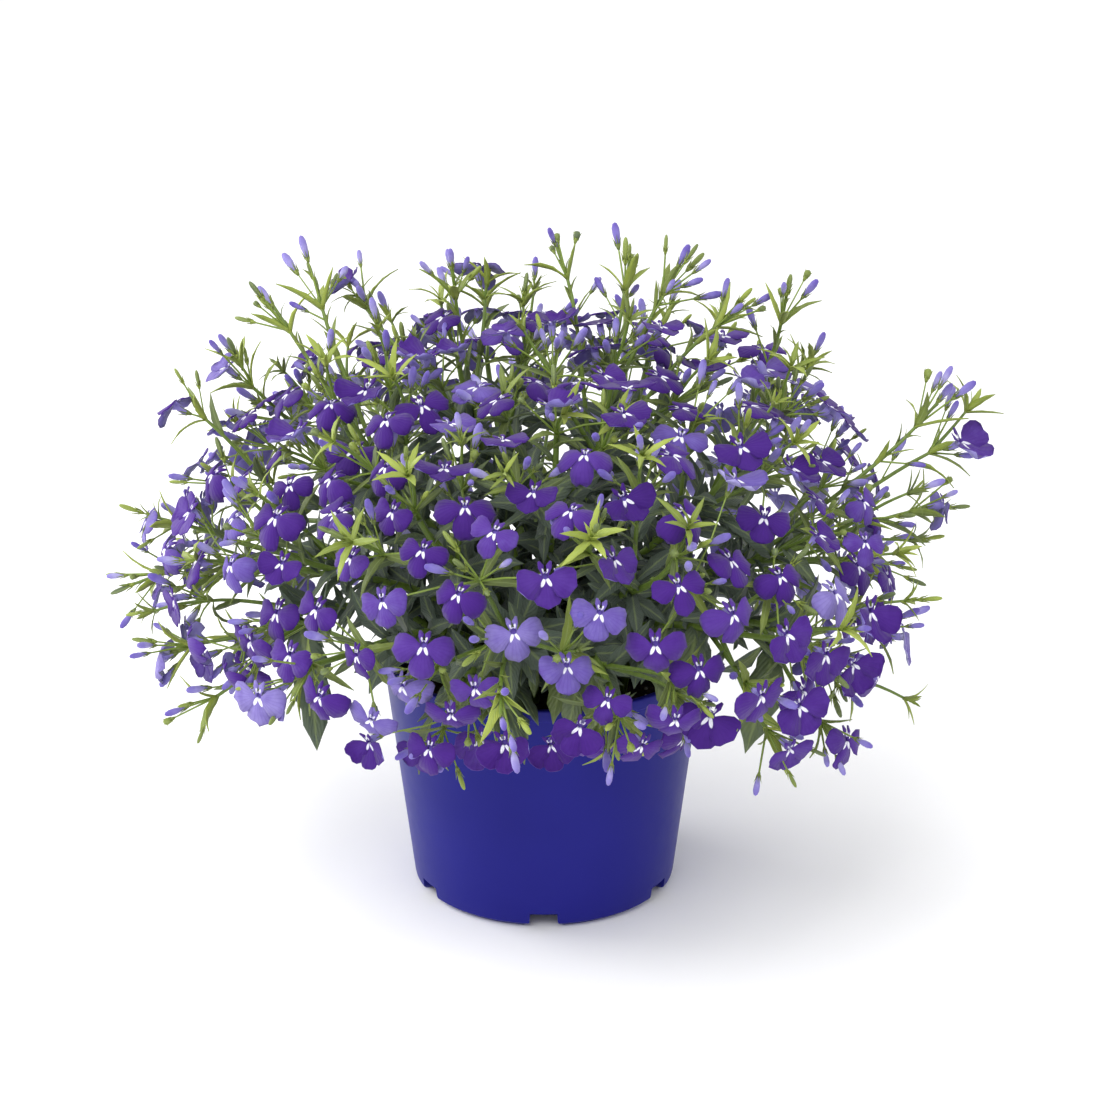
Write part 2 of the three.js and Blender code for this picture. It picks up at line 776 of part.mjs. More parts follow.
/** Decide where every stem, shoot, bloom and leaf goes. */
function planPlant() {
  const sprays = [];
  for (let index = 0; index < SPRAY_COUNT; index++) {
    sprays.push(planStem(index));
  }
  for (const spray of sprays) {
    for (let i = 0; i + 1 < STEM_RINGS; i++) {
      const [start, end] = spray.points.slice(i, i + 2);
      occupy(ballsAlong(start, end, STEM_BASE_RADIUS, spray.leader.owner));
    }
  }
  for (const seed of bloomSeeds()) {
    nearestSpray(sprays, seed.at).seeds.push(seed);
  }
  for (const [x, y, z] of OUTER_SHOOTS) {
    const tip = vec(x, y, z);
    const spray = nearestSpray(sprays, tip);
    const heading = tip.clone().sub(spray.tip).normalize();
    addShoot(spray, along(tip, heading, -BUD_LENGTH), heading, [], BUD_LENGTH);
  }
  for (const spray of sprays) {
    planShoots(spray);
  }
  for (const spray of sprays) {
    spray.missed = spray.seeds.filter((seed) => !seed.shoot || !addBloom(seed.shoot, seed));
  }
  for (const spray of sprays) {
    for (const seed of spray.missed) {
      addBloom(shootFor(spray, seed), seed);
    }
  }
  for (const spray of sprays) {
    for (const shoot of [spray.leader, ...spray.shoots]) {
      addTuft(shoot);
    }
    if (spray.index % 2 === 1) {
      const azimuth = random() * 2 * Math.PI;
      const base = stemPoint(spray, BROAD_LEAF_PLACE);
      const leaf = addLeaf(spray.leader, base, BROAD_LEAF, BROAD_LEAF_SLANT, azimuth);
      spray.broadLeaves.push(...(leaf ? [leaf] : []));
    }
  }
  return sprays;
}

/** Narrow leaves round the end of a shoot: one under each stalk, and others in the free places. */
function addTuft(shoot) {
  const frame = squareTo(shoot.way);
  const base = along(shoot.end, shoot.way, -NODE_SPACING / 2);
  shoot.leaves = nodeAzimuths(shoot).map((azimuth) => {
    const bloom = shoot.blooms.find((one) => wrapped(azimuthIn(one.way, frame)) === azimuth);
    const slant = bloom ? Math.acos(bloom.way.dot(shoot.way)) + LEAF_BELOW_STALK : LEAF_SLANT;
    return addLeaf(shoot, base, NARROW_LEAF, slant, azimuth);
  });
}

/** Half-width of the pot's outer wall at a height. */
function wallRadius(height) {
  return WALL_RADIUS_AT_FOOT + ((POT_RIM_RADIUS - WALL_RADIUS_AT_FOOT) * height) / POT_HEIGHT;
}

function lathe(profilePoints) {
  const geometry = new THREE.LatheGeometry(
    profilePoints.map(([radius, height]) => new THREE.Vector2(radius, height)),
    POT_SIDES,
  );
  return geometry.rotateX(Math.PI / 2);
}

function makePot() {
  const band = POT_RIM_BAND;
  const bandFoot = POT_HEIGHT - band.height;
  const inner = (height) => wallRadius(height) - POT_WALL;
  const body = solidOf(
    lathe([
      [0, FLOOR_HEIGHT],
      [POT_FOOT_RADIUS - POT_WALL, FLOOR_HEIGHT],
      [POT_FOOT_RADIUS - POT_WALL, 0],
      [POT_FOOT_RADIUS, 0],
      [wallRadius(FOOT_ROUNDING), FOOT_ROUNDING],
      [wallRadius(bandFoot), bandFoot],
      [wallRadius(bandFoot) + band.depth, bandFoot + band.depth],
      [wallRadius(POT_HEIGHT) + band.depth, POT_HEIGHT],
      [inner(POT_HEIGHT), POT_HEIGHT],
      [inner(FLOOR_HEIGHT + POT_WALL), FLOOR_HEIGHT + POT_WALL],
      [0, FLOOR_HEIGHT + POT_WALL],
    ]),
  );
  let pot = body;
  for (let i = 0; i < NOTCH.count; i++) {
    const turn = (i * 2 * Math.PI) / NOTCH.count - Math.PI / 2;
    pot = pot.subtract(solidOf(notchCutter().rotateZ(turn)));
  }
  for (let i = 0; i < DRAIN.count; i++) {
    const turn = ((i + 0.5) * 2 * Math.PI) / DRAIN.count - Math.PI / 2;
    const drill = new THREE.CylinderGeometry(DRAIN.radius, DRAIN.radius, 8, DRAIN.sides);
    drill.rotateX(Math.PI / 2);
    drill.translate(DRAIN.ring * Math.cos(turn), DRAIN.ring * Math.sin(turn), FLOOR_HEIGHT);
    pot = pot.subtract(solidOf(drill));
  }
  return pot;
}

/** The shape of one drainage notch, along +X through the foot ring, flared at the ground. */
function notchCutter() {
  const half = NOTCH.width / 2;
  const wide = half + NOTCH.flare;
  const outline = new THREE.Shape([
    new THREE.Vector2(-wide, -1),
    new THREE.Vector2(wide, -1),
    new THREE.Vector2(wide, 0),
    new THREE.Vector2(half, NOTCH.flare),
    new THREE.Vector2(half, NOTCH.height),
    new THREE.Vector2(-half, NOTCH.height),
    new THREE.Vector2(-half, NOTCH.flare),
    new THREE.Vector2(-wide, 0),
  ]);
  const cutter = new THREE.ExtrudeGeometry(outline, { depth: NOTCH.depth, bevelEnabled: false });
  cutter.rotateX(Math.PI / 2);
  cutter.rotateZ(Math.PI / 2);
  return cutter.translate(POT_FOOT_RADIUS - 2.2, 0, 0);
}

/** Compost with a plain hole for each stem. */
function makeCompost(sprays) {
  const inner = (height) => wallRadius(height) - POT_WALL - FIT_GAP;
  const foot = FLOOR_HEIGHT + POT_WALL + FIT_GAP;
  let compost = solidOf(
    lathe([
      [0, foot],
      [inner(foot), foot],
      [inner(COMPOST_LEVEL - 2), COMPOST_LEVEL - 2],
      [ROOT_DISC_RADIUS + 6, COMPOST_LEVEL],
      [0, COMPOST_LEVEL + COMPOST_HEAP - 2],
    ]),
  );
  const low = COMPOST_LEVEL - STEM_SUNK - 1;
  const depth = COMPOST_HEAP + 4 + STEM_SUNK;
  for (const { points } of sprays) {
    const hole = new THREE.CylinderGeometry(HOLE_RADIUS, HOLE_RADIUS, depth, HOLE_SIDES);
    hole.rotateX(Math.PI / 2).translate(points[0].x, points[0].y, low + depth / 2);
    compost = compost.subtract(solidOf(hole));
  }
  return compost;
}

const plant = new THREE.Group();
const sprays = planPlant();
plant.add(meshOf(makePot(), "pot", materials.pot));
plant.add(meshOf(makeCompost(sprays), "compost", materials.compost));
for (const spray of sprays) {
  const name = `spray_${String(spray.index + 1).padStart(2, "0")}`;
  plant.add(meshOf(spraySolid(spray), name, materials.foliage));
}

export default plant;
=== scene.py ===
# %% [markdown]
# # A trailing lobelia in its pot
#
# The object is a bedding plant: thirty leafy sprays that root in compost and carry a dome of small
# violet flowers over a round plastic pot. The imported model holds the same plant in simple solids.
# This lesson works out where every stem, shoot, flower and leaf of those solids is, models each
# kind of piece once in full detail, and sets copies of it in those places.

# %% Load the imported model, the frame that every piece is built round
import json
import math
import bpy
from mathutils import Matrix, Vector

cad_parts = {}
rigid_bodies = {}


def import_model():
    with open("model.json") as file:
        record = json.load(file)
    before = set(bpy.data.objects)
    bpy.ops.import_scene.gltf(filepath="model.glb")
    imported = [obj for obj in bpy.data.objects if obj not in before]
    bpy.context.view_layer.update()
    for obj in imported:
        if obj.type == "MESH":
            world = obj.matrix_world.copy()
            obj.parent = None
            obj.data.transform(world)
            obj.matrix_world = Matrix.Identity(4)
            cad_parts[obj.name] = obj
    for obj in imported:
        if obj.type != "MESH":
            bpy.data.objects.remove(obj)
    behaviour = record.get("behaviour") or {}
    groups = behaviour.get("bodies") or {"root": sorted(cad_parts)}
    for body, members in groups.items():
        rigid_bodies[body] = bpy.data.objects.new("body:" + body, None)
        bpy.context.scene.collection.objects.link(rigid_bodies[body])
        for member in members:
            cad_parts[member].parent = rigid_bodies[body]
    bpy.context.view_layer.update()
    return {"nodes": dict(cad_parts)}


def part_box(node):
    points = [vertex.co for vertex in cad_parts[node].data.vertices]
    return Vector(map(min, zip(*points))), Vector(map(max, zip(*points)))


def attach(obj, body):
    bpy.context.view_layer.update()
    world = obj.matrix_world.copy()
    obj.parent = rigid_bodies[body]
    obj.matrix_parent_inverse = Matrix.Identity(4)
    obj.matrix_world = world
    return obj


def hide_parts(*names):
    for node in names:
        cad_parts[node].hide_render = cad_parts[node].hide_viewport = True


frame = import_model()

from types import SimpleNamespace

import bmesh
import bpy
import numpy as np
from mathutils import Matrix, Vector, noise

MM = 0.001
bpy.ops.object.select_all(action="DESELECT")
print("nodes in the frame:", len(frame["nodes"]))

# %% [markdown]
# ## Camera, floor and light
#
# The camera comes first, so that each step can be looked at. It stands a metre away and looks down
# on the plant at a flat angle, through a long lens that keeps the pot's sides nearly straight. The
# set is a plain white floor in a white room, with one large softbox for form and a smaller one
# behind, to the left, for the soft bright band down the side of the pot.

# %% Camera
VIEW_DISTANCE = 1.0
VIEW_ELEVATION = math.radians(20.5)
VIEW_TARGET = Vector((0.006, 0, 0.126))
VIEW_LENS = 87.5
SENSOR_WIDTH = 36

towards_camera = Vector((0, -math.cos(VIEW_ELEVATION), math.sin(VIEW_ELEVATION)))
bpy.ops.object.camera_add(
    location=VIEW_TARGET + towards_camera * VIEW_DISTANCE,
    rotation=(math.pi / 2 - VIEW_ELEVATION, 0, 0),
)
camera = bpy.context.object
camera.data.lens = VIEW_LENS
camera.data.sensor_width = SENSOR_WIDTH
bpy.context.scene.camera = camera
bpy.context.scene.view_settings.view_transform = "Standard"
print("camera at", tuple(round(x, 3) for x in camera.location))

# %% One function for colours, and one that adds a node to a material
def srgb(code):
    """A linear colour from an sRGB hex code such as "2C2C88"."""
    parts = [int(code[i : i + 2], 16) / 255 for i in (0, 2, 4)]
    return [p / 12.92 if p <= 0.04045 else ((p + 0.055) / 1.055) ** 2.4 for p in parts] + [1]


def add_node(tree, kind, props=None, values=None, links=None):
    """Add a node, set its properties and input values, and link its inputs to (node, output)."""
    node = tree.nodes.new(kind)
    for name, value in (props or {}).items():
        setattr(node, name, value)
    for name, value in (values or {}).items():
        node.inputs[name].default_value = value
    for name, (source, output) in (links or {}).items():
        tree.links.new(source.outputs[output], node.inputs[name])
    return node


def set_stops(ramp, stops):
    """Give a colour ramp its stops, a list of (place, hex code)."""
    elements = ramp.color_ramp.elements
    while len(elements) < len(stops):
        elements.new(0.5)
    for element, (place, code) in zip(elements, stops):
        element.position = place
        element.color = srgb(code)


def new_material(name, base_values):
    """A material with one Principled shader, whose constant values are set on its own sockets."""
    material = bpy.data.materials.new(name)
    material.use_nodes = True
    shader = material.node_tree.nodes["Principled BSDF"]
    for socket, value in base_values.items():
        shader.inputs[socket].default_value = value
    return material, material.node_tree, shader


def dress(tree, shader, colour, relief):
    """Link a shader's colour, from a (node, output), and the normal that a bump node makes."""
    tree.links.new(colour[0].outputs[colour[1]], shader.inputs["Base Color"])
    tree.links.new(relief.outputs["Normal"], shader.inputs["Normal"])


print("helpers ready, mid grey is", round(srgb("808080")[0], 3))

# %% Floor
FLOOR_SIZE = 14

bpy.ops.mesh.primitive_plane_add(size=FLOOR_SIZE)
floor = bpy.context.object
floor.name = "floor"
floor_paint, tree, shader = new_material("matt white floor paint", {"Roughness": 0.9})
grain = add_node(tree, "ShaderNodeTexNoise", values={"Scale": 3.0})
paint = add_node(tree, "ShaderNodeValToRGB", links={"Fac": (grain, "Fac")})
set_stops(paint, [(0.3, "FBFBFC"), (0.7, "FEFEFE")])
tree.links.new(paint.outputs["Color"], shader.inputs["Base Color"])
floor.data.materials.append(floor_paint)
print("floor paint:", floor_paint.name)

# %% White room and softboxes
world = bpy.data.worlds.new("white studio")
world.use_nodes = True
world.node_tree.nodes["Background"].inputs["Color"].default_value = srgb("FFFFFF")
world.node_tree.nodes["Background"].inputs["Strength"].default_value = 1.0
bpy.context.scene.world = world


def add_softbox(name, place, size, watts, target=(0, 0, 0.14)):
    """A square area light that faces the plant."""
    bpy.ops.object.light_add(type="AREA", location=place)
    lamp = bpy.context.object
    lamp.name = name
    lamp.data.size = size
    lamp.data.energy = watts
    lamp.rotation_euler = (Vector(target) - Vector(place)).to_track_quat("-Z", "Y").to_euler()
    return lamp


add_softbox("key softbox", (-0.5, -1.2, 1.7), 1.1, 20)
add_softbox("back softbox", (-1.1, 0.4, 0.5), 0.7, 9)

# %% [markdown]
# ## The plant's layout
#
# A real lobelia branches by simple habits: stems lean out from the middle of the pot, each side
# shoot takes the nearest free way to the light, and each flower opens where it has room. The solids
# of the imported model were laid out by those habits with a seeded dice. The same steps are taken
# here, in millimetres and with the same throws, so each stem, flower and leaf lands where its
# solid is. Plain tuples of floats are used, because Blender's vectors keep fewer digits.

# %% Arithmetic on points and directions
def plus(a, b):
    return (a[0] + b[0], a[1] + b[1], a[2] + b[2])


def minus(a, b):
    return (a[0] - b[0], a[1] - b[1], a[2] - b[2])


def times(a, factor):
    return (a[0] * factor, a[1] * factor, a[2] * factor)


def along(start, way, distance):
    return (start[0] + way[0] * distance, start[1] + way[1] * distance, start[2] + way[2] * distance)


def dot(a, b):
    return a[0] * b[0] + a[1] * b[1] + a[2] * b[2]


def cross(a, b):
    return (a[1] * b[2] - a[2] * b[1], a[2] * b[0] - a[0] * b[2], a[0] * b[1] - a[1] * b[0])


def unit(a):
    return times(a, 1 / (math.sqrt(dot(a, a)) or 1))


def between(a, b, share):
    return along(a, minus(b, a), share)


def apart(a, b):
    return math.dist(a, b)


def square_to(way):
    """Two directions square to the given one."""
    helper = (0, 0, 1) if abs(way[2]) < 0.9 else (1, 0, 0)
    side = unit(cross(helper, way))
    return side, unit(cross(way, side))


def outwards(angle, plane):
    """The direction at an angle in the plane of two directions."""
    return plus(times(plane[0], math.cos(angle)), times(plane[1], math.sin(angle)))


def angle_in(way, plane):
    return math.atan2(dot(way, plane[1]), dot(way, plane[0]))


def wrapped(angle):
    return angle % (2 * math.pi)


def curve_point(controls, t):
    """A point on a cubic curve with four control points."""
    back = 1 - t
    weights = (back**3, 3 * back * back * t, 3 * back * t * t, t**3)
    return tuple(sum(w * p[axis] for w, p in zip(weights, controls)) for axis in range(3))


print("square to up:", square_to((0, 0, 1)))

# %% A seeded dice
DICE_SEED = 20816


def random_source(seed):
    """Repeatable numbers from 0 to 1."""
    state = seed

    def draw():
        nonlocal state
        state = state * 48271 % 2147483647
        return state / 2147483647

    return draw


random = random_source(DICE_SEED)


def spread(size):
    """A throw to either side of zero."""
    return (random() * 2 - 1) * size


def throw(least, more):
    """A throw from a least number up to that much more."""
    return least + more * random()


print("first throw:", round(random_source(DICE_SEED)(), 4))

# %% [markdown]
# ### The dome
#
# The open flowers lie on a dome that hangs a little over the rim of the pot. Its profile is stored
# with the share of its area above each row, so that an even share of area, turned by the golden
# angle each time, gives evenly scattered places: the way a sunflower sets its seeds.

# %% Profile of the dome
DOME_RADIUS = 136
DOME_RISE = 91
DOME_FALL = 54
DOME_CENTRE_HEIGHT = 125
DOME_SKIRT_FULLNESS = 0.7
DOME_LOWEST_POLAR = math.radians(143)
DOME_STEPS = 160
GOLDEN_ANGLE = math.pi * (3 - math.sqrt(5))


def dome_profile():
    """Rows of (radius, height, share of the area above), from the top down."""
    rows = []
    area = 0
    for i in range(DOME_STEPS + 1):
        polar = DOME_LOWEST_POLAR * i / DOME_STEPS
        low = polar > math.pi / 2
        radius = DOME_RADIUS * math.sin(polar) ** (DOME_SKIRT_FULLNESS if low else 1)
        height = DOME_CENTRE_HEIGHT + (DOME_FALL if low else DOME_RISE) * math.cos(polar)
        if rows:
            last = rows[-1]
            area += (last[0] + radius) * math.hypot(radius - last[0], height - last[1])
        rows.append((radius, height, area))
    return [(radius, height, above / area) for radius, height, above in rows]


profile = dome_profile()


def dome_spot(share, azimuth):
    """Point and outward direction of the dome at a share of its area."""
    row = 1
    while row < DOME_STEPS and profile[row][2] < share:
        row += 1
    above, below = profile[row - 1], profile[row]
    part = (share - above[2]) / (below[2] - above[2])
    radius = above[0] + (below[0] - above[0]) * part
    height = above[1] + (below[1] - above[1]) * part
    fall, run = above[1] - below[1], below[0] - above[0]
    cos, sin = math.cos(azimuth), math.sin(azimuth)
    normal = unit((fall * cos, fall * sin, run))
    return SimpleNamespace(point=(radius * cos, radius * sin, height), normal=normal)


print("dome: %.0f mm wide, from %.0f to %.0f mm high" % (2 * DOME_RADIUS, profile[-1][1], profile[0][1]))

# %% [markdown]
# ### Room for each piece
#
# Every piece leaves small balls behind in a grid of cells. A new piece is tested against the balls
# in the cells round it, and takes its place only where it meets none, apart from those of its
# parent near its own root.

# %% Balls in a grid
ROOM = 0.45
GRID_CELL = 6
ROOT_CLEARANCE = 4
PARENT_CLEARANCE = 10

taken = {}
owners = 0


def new_owner():
    global owners
    owners += 1
    return owners


def cell_of(point):
    return tuple(math.floor(x / GRID_CELL) for x in point)


def occupy(balls):
    for ball in balls:
        taken.setdefault(cell_of(ball[0]), []).append(ball)


def is_clear(balls, root=None, parent=None, room=ROOM):
    """True where no ball comes too near one that is placed. Near its root it may meet its parent."""
    for at, radius, _ in balls:
        if root and apart(at, root) < ROOT_CLEARANCE:
            continue
        i, j, k = cell_of(at)
        for step in range(27):
            cell = (i - 1 + step % 3, j - 1 + step // 3 % 3, k - 1 + step // 9)
            for other, size, owner in taken.get(cell, ()):
                reach = radius + size + room
                gap = (at[0] - other[0]) ** 2 + (at[1] - other[1]) ** 2 + (at[2] - other[2]) ** 2
                if gap < reach * reach:
                    if not (owner == parent and root and apart(other, root) < PARENT_CLEARANCE):
                        return False
    return True


def balls_along(start, end, radius, owner):
    count = max(1, math.ceil(apart(start, end) / (radius * 1.8)))
    return [(between(start, end, i / count), radius, owner) for i in range(count + 1)]


print("cells of the grid: %d mm" % GRID_CELL)

# %% [markdown]
# ### Stems and side shoots
#
# Thirty stems rise from the compost and lean out to their own part of the dome. Each stem shares
# the flowers near it among itself and its side shoots, three to a shoot. A side shoot leaves the
# stem as high as it can without meeting its neighbours.

# %% Stems
SPRAY_COUNT = 30
ROOT_DISC_RADIUS = 34
COMPOST_LEVEL = 79
STEM_RINGS = 5
STEM_BASE_RADIUS = 1.8
STEM_BOW = {"rise": 0.45, "spread": 1.1, "end": 0.35, "lift": 0.25}
TIP_DEPTH = 15
NODE_LENGTH = 1.3
NODE_SPACING = 2.2


def plan_stem(index):
    """Where a spray's stem starts, how it runs and where it ends under the dome."""
    share = (index + 0.5) / SPRAY_COUNT
    azimuth = index * GOLDEN_ANGLE
    spot = dome_spot(share, azimuth)
    disc = ROOT_DISC_RADIUS * math.sqrt(share)
    root = (disc * math.cos(azimuth), disc * math.sin(azimuth), COMPOST_LEVEL + 1)
    tip = along(spot.point, spot.normal, -TIP_DEPTH)
    heading = unit(plus(spot.normal, (0, 0, STEM_BOW["lift"])))
    reach = apart(root, tip)
    rise = root[2] + reach * STEM_BOW["rise"]
    controls = [
        root,
        (root[0] * STEM_BOW["spread"], root[1] * STEM_BOW["spread"], rise),
        along(tip, heading, -reach * STEM_BOW["end"]),
        tip,
    ]
    points = [curve_point(controls, ring / (STEM_RINGS - 1)) for ring in range(STEM_RINGS)]
    way = unit(plus(unit(minus(tip, points[-2])), spot.normal))
    leader = SimpleNamespace(
        owner=new_owner(), end=tip, tip=along(tip, way, NODE_LENGTH), way=way, blooms=[],
        spike=False,
    )
    return SimpleNamespace(
        index=index, leader=leader, spot=spot, tip=tip, points=points, controls=controls,
        seeds=[], shoots=[], broad_leaves=[],
    )


def stem_point(spray, t):
    """A place on a spray's stem, at a share of its length."""
    place = t * (STEM_RINGS - 1)
    ring = min(math.floor(place), STEM_RINGS - 2)
    return between(spray.points[ring], spray.points[ring + 1], place - ring)


def nearest_spray(sprays, point):
    return min(sprays, key=lambda spray: apart(spray.spot.point, point) ** 2)


sprays = [plan_stem(index) for index in range(SPRAY_COUNT)]
for spray in sprays:
    for start, end in zip(spray.points, spray.points[1:]):
        occupy(balls_along(start, end, STEM_BASE_RADIUS, spray.leader.owner))
print("stems:", len(sprays))

# %% Places of the blooms
BLOOM_COUNT = 296
BLOOM_TURN = 1.3
BLOOM_SET_BACK = 13
SKIRT_LIFT = 10
BULGE = {"count": 3, "share": 0.035, "twist": 30}
OUTER_FLATNESS = 1.3
OUTER_BLOOMS = [
    (151, 0, 172), (-133, 5, 185), (145, -5, 149), (127, -50, 116), (120, -50, 94),
    (105, -80, 90), (84, -95, 93), (-137, -40, 105), (-127, -50, 87), (-145, 0, 142),
    (-116, 20, 194), (-72, 50, 219), (-24, 50, 224), (92, 112, 150), (-60, 128, 118),
    (-8, 138, 150),
]


def bloom_seeds():
    """The seeds of the blooms: a place on the dome and the way it faces."""
    seeds = []
    for x, y, z in OUTER_BLOOMS:
        normal = unit((x, y, (z - DOME_CENTRE_HEIGHT) * OUTER_FLATNESS))
        seeds.append(SimpleNamespace(at=(x, y, z), normal=normal, outer=True, shoot=None))
    for i in range(BLOOM_COUNT):
        azimuth = i * GOLDEN_ANGLE + BLOOM_TURN
        spot = dome_spot((i + 0.5) / BLOOM_COUNT, azimuth)
        x, y, z = spot.point
        wave = 1 + BULGE["share"] * math.sin(BULGE["count"] * math.atan2(y, x) + z / BULGE["twist"])
        hang = max(0, (DOME_CENTRE_HEIGHT - z) / DOME_FALL) * max(0, -math.sin(azimuth))
        depth = random() ** 2 * BLOOM_SET_BACK
        at = (x * wave, y * wave, z + SKIRT_LIFT * hang)
        at = along(at, spot.normal, -depth)
        seeds.append(SimpleNamespace(at=at, normal=spot.normal, outer=False, shoot=None))
    return seeds


for seed in bloom_seeds():
    nearest_spray(sprays, seed.at).seeds.append(seed)
print("seeds of the blooms:", sum(len(spray.seeds) for spray in sprays))

# %% Side shoots that carry them
SHOOT_STARTS = [0.66, 0.74, 0.58, 0.82, 0.5, 0.9, 0.42, 0.7, 0.54, 0.78]
SHOOT_STEP = 0.013
SHOOT_RADIUS = 1.15
SHOOT_DEPTH = 12
NEAR_STEM = 22
BUD_LENGTH = 11
BLOOMS_AT_TIP = 3
OUTER_SHOOTS = [
    (140, 0, 187), (-150, 0, 114), (-97, 20, 216), (-82, 24, 225), (-32, 20, 230), (4, 30, 234),
    (31, 25, 232), (49, 20, 230), (72, 10, 216), (85, 12, 222), (-12, -146, 126), (40, 136, 128),
    (-70, 128, 150),
]


def add_shoot(spray, end, heading, group, tip_length):
    """One side shoot, started lower or higher on the stem until its way is clear."""
    for start in SHOOT_STARTS:
        root = stem_point(spray, start + len(spray.shoots) * SHOOT_STEP)
        way = unit(plus(unit(minus(end, root)), unit(heading)))
        tip = along(end, way, tip_length)
        owner = new_owner()
        balls = balls_along(root, end, SHOOT_RADIUS, owner)
        balls += balls_along(end, tip, SHOOT_RADIUS, owner)
        if is_clear(balls, root, spray.leader.owner):
            shoot = SimpleNamespace(
                owner=owner, root=root, end=end, tip=tip, way=way, blooms=[],
                spike=tip_length == BUD_LENGTH,
            )
            occupy(balls)
            spray.shoots.append(shoot)
            for seed in group:
                seed.shoot = shoot
            return


print("starts tried on a stem:", len(SHOOT_STARTS))

# %% Share the blooms out among the shoots
def plan_shoots(spray):
    """Share a spray's blooms out: some to the main tip, the others to side shoots, by direction."""
    frame_here = square_to(spray.spot.normal)
    for seed in spray.seeds:
        offset = minus(seed.at, spray.tip)
        aside = along(offset, spray.spot.normal, -dot(offset, spray.spot.normal))
        seed.aside = math.sqrt(dot(aside, aside))
        seed.angle = angle_in(aside, frame_here)
    own = sorted((seed for seed in spray.seeds if not seed.outer), key=lambda seed: seed.aside)
    near = [seed for i, seed in enumerate(own) if i < BLOOMS_AT_TIP and seed.aside < NEAR_STEM]
    for seed in near:
        seed.shoot = spray.leader
    far = sorted(own[len(near) :], key=lambda seed: seed.angle)
    shoot_count = math.ceil(len(far) / BLOOMS_AT_TIP)
    groups = [[] for _ in range(shoot_count)]
    for i, seed in enumerate(far):
        groups[i * shoot_count // len(far)].append(seed)
    for group in groups:
        middle = normal = (0, 0, 0)
        for seed in group:
            middle = along(middle, seed.at, 1 / len(group))
            normal = plus(normal, seed.normal)
        normal = unit(normal)
        add_shoot(spray, along(middle, normal, -SHOOT_DEPTH), normal, group, NODE_LENGTH)
    for seed in spray.seeds:
        if seed.outer:
            end = along(seed.at, seed.normal, -SHOOT_DEPTH)
            add_shoot(spray, end, seed.normal, [seed], NODE_LENGTH)


for tip in OUTER_SHOOTS:
    spray = nearest_spray(sprays, tip)
    heading = unit(minus(tip, spray.tip))
    add_shoot(spray, along(tip, heading, -BUD_LENGTH), heading, [], BUD_LENGTH)
for spray in sprays:
    plan_shoots(spray)
print("side shoots:", sum(len(spray.shoots) for spray in sprays))

# %% [markdown]
# ### Flowers
#
# A bloom opens near its seed and faces outwards, with its lower lip hanging. It is turned and set
# back a little until its lobes and its stalk are clear of all that is there already. A bloom that
# finds no room on its own shoot is tried once more on the nearest shoot with a free side.

# %% Which way a bloom faces
BLOOM_LIFT = 0.1
LIP_OUTWARDS = 0.6


def bloom_frame(normal, tilt, roll):
    """The way a bloom faces, the way its lower lip points, and across."""
    level = (normal[0], normal[1], max(normal[2], -BLOOM_LIFT) + BLOOM_LIFT)
    facing = unit(plus(unit(level), tilt))
    outward = unit((facing[0], facing[1], 0))
    fall = along((0, 0, -1), outward, LIP_OUTWARDS)
    down = unit(along(fall, facing, -dot(fall, facing)))
    lip = outwards(roll, (down, cross(facing, down)))
    return facing, lip, unit(cross(facing, lip))


def bloom_point(bloom, across, up, forward):
    point = along(bloom.at, bloom.across, across * bloom.size)
    point = along(point, bloom.lip, -up * bloom.size)
    return along(point, bloom.facing, forward * bloom.size)


print("a bloom of the front:", [round(x, 2) for x in bloom_frame((0, -1, 0), (0, 0, 0), 0)[0]])

# %% Open a bloom where it has room
# Balls that keep a bloom's room: how far across, up and forward each is, and its radius.
BLOOM_FILL = [
    (0, 0, -0.6, 1.8), (0, 3.8, -0.4, 1.6), (-4.4, 0.4, -0.4, 2.0), (4.4, 0.4, -0.4, 2.0),
    (-6.8, 0.6, -0.9, 2.0), (6.8, 0.6, -0.9, 2.0), (-6.4, -2.6, -0.9, 2.0),
    (6.4, -2.6, -0.9, 2.0), (0, -4.0, -0.4, 2.2), (-1.8, -7.4, -0.6, 2.0), (1.8, -7.4, -0.6, 2.0),
]
BLOOM_SIZE = (0.9, 0.16)
BLOOM_SIZE_LOSS = 0.1
BLOOM_TILT = 0.34
BLOOM_ROLL = 0.45
BLOOM_SHIFT = (1, 5)
TUBE_LENGTH = 3.6
STALK_RADIUS = 0.6
STALK_SPACING = math.radians(40)
SHORTEST_STALK = 5
STALK_AHEAD = (0.05, 0.97)
STALK_BEHIND_FACE = 0.5
TRIES = 40


def has_room_for(shoot, way):
    """True where a stalk would leave a shoot forwards and well apart, round it, from the others."""
    here = square_to(shoot.way)
    azimuth = angle_in(way, here)
    gaps = [wrapped(angle_in(bloom.way, here) - azimuth) for bloom in shoot.blooms]
    widest = 2 * math.pi - STALK_SPACING
    ahead = STALK_AHEAD[0] < dot(way, shoot.way) < STALK_AHEAD[1]
    return ahead and all(STALK_SPACING < gap < widest for gap in gaps)


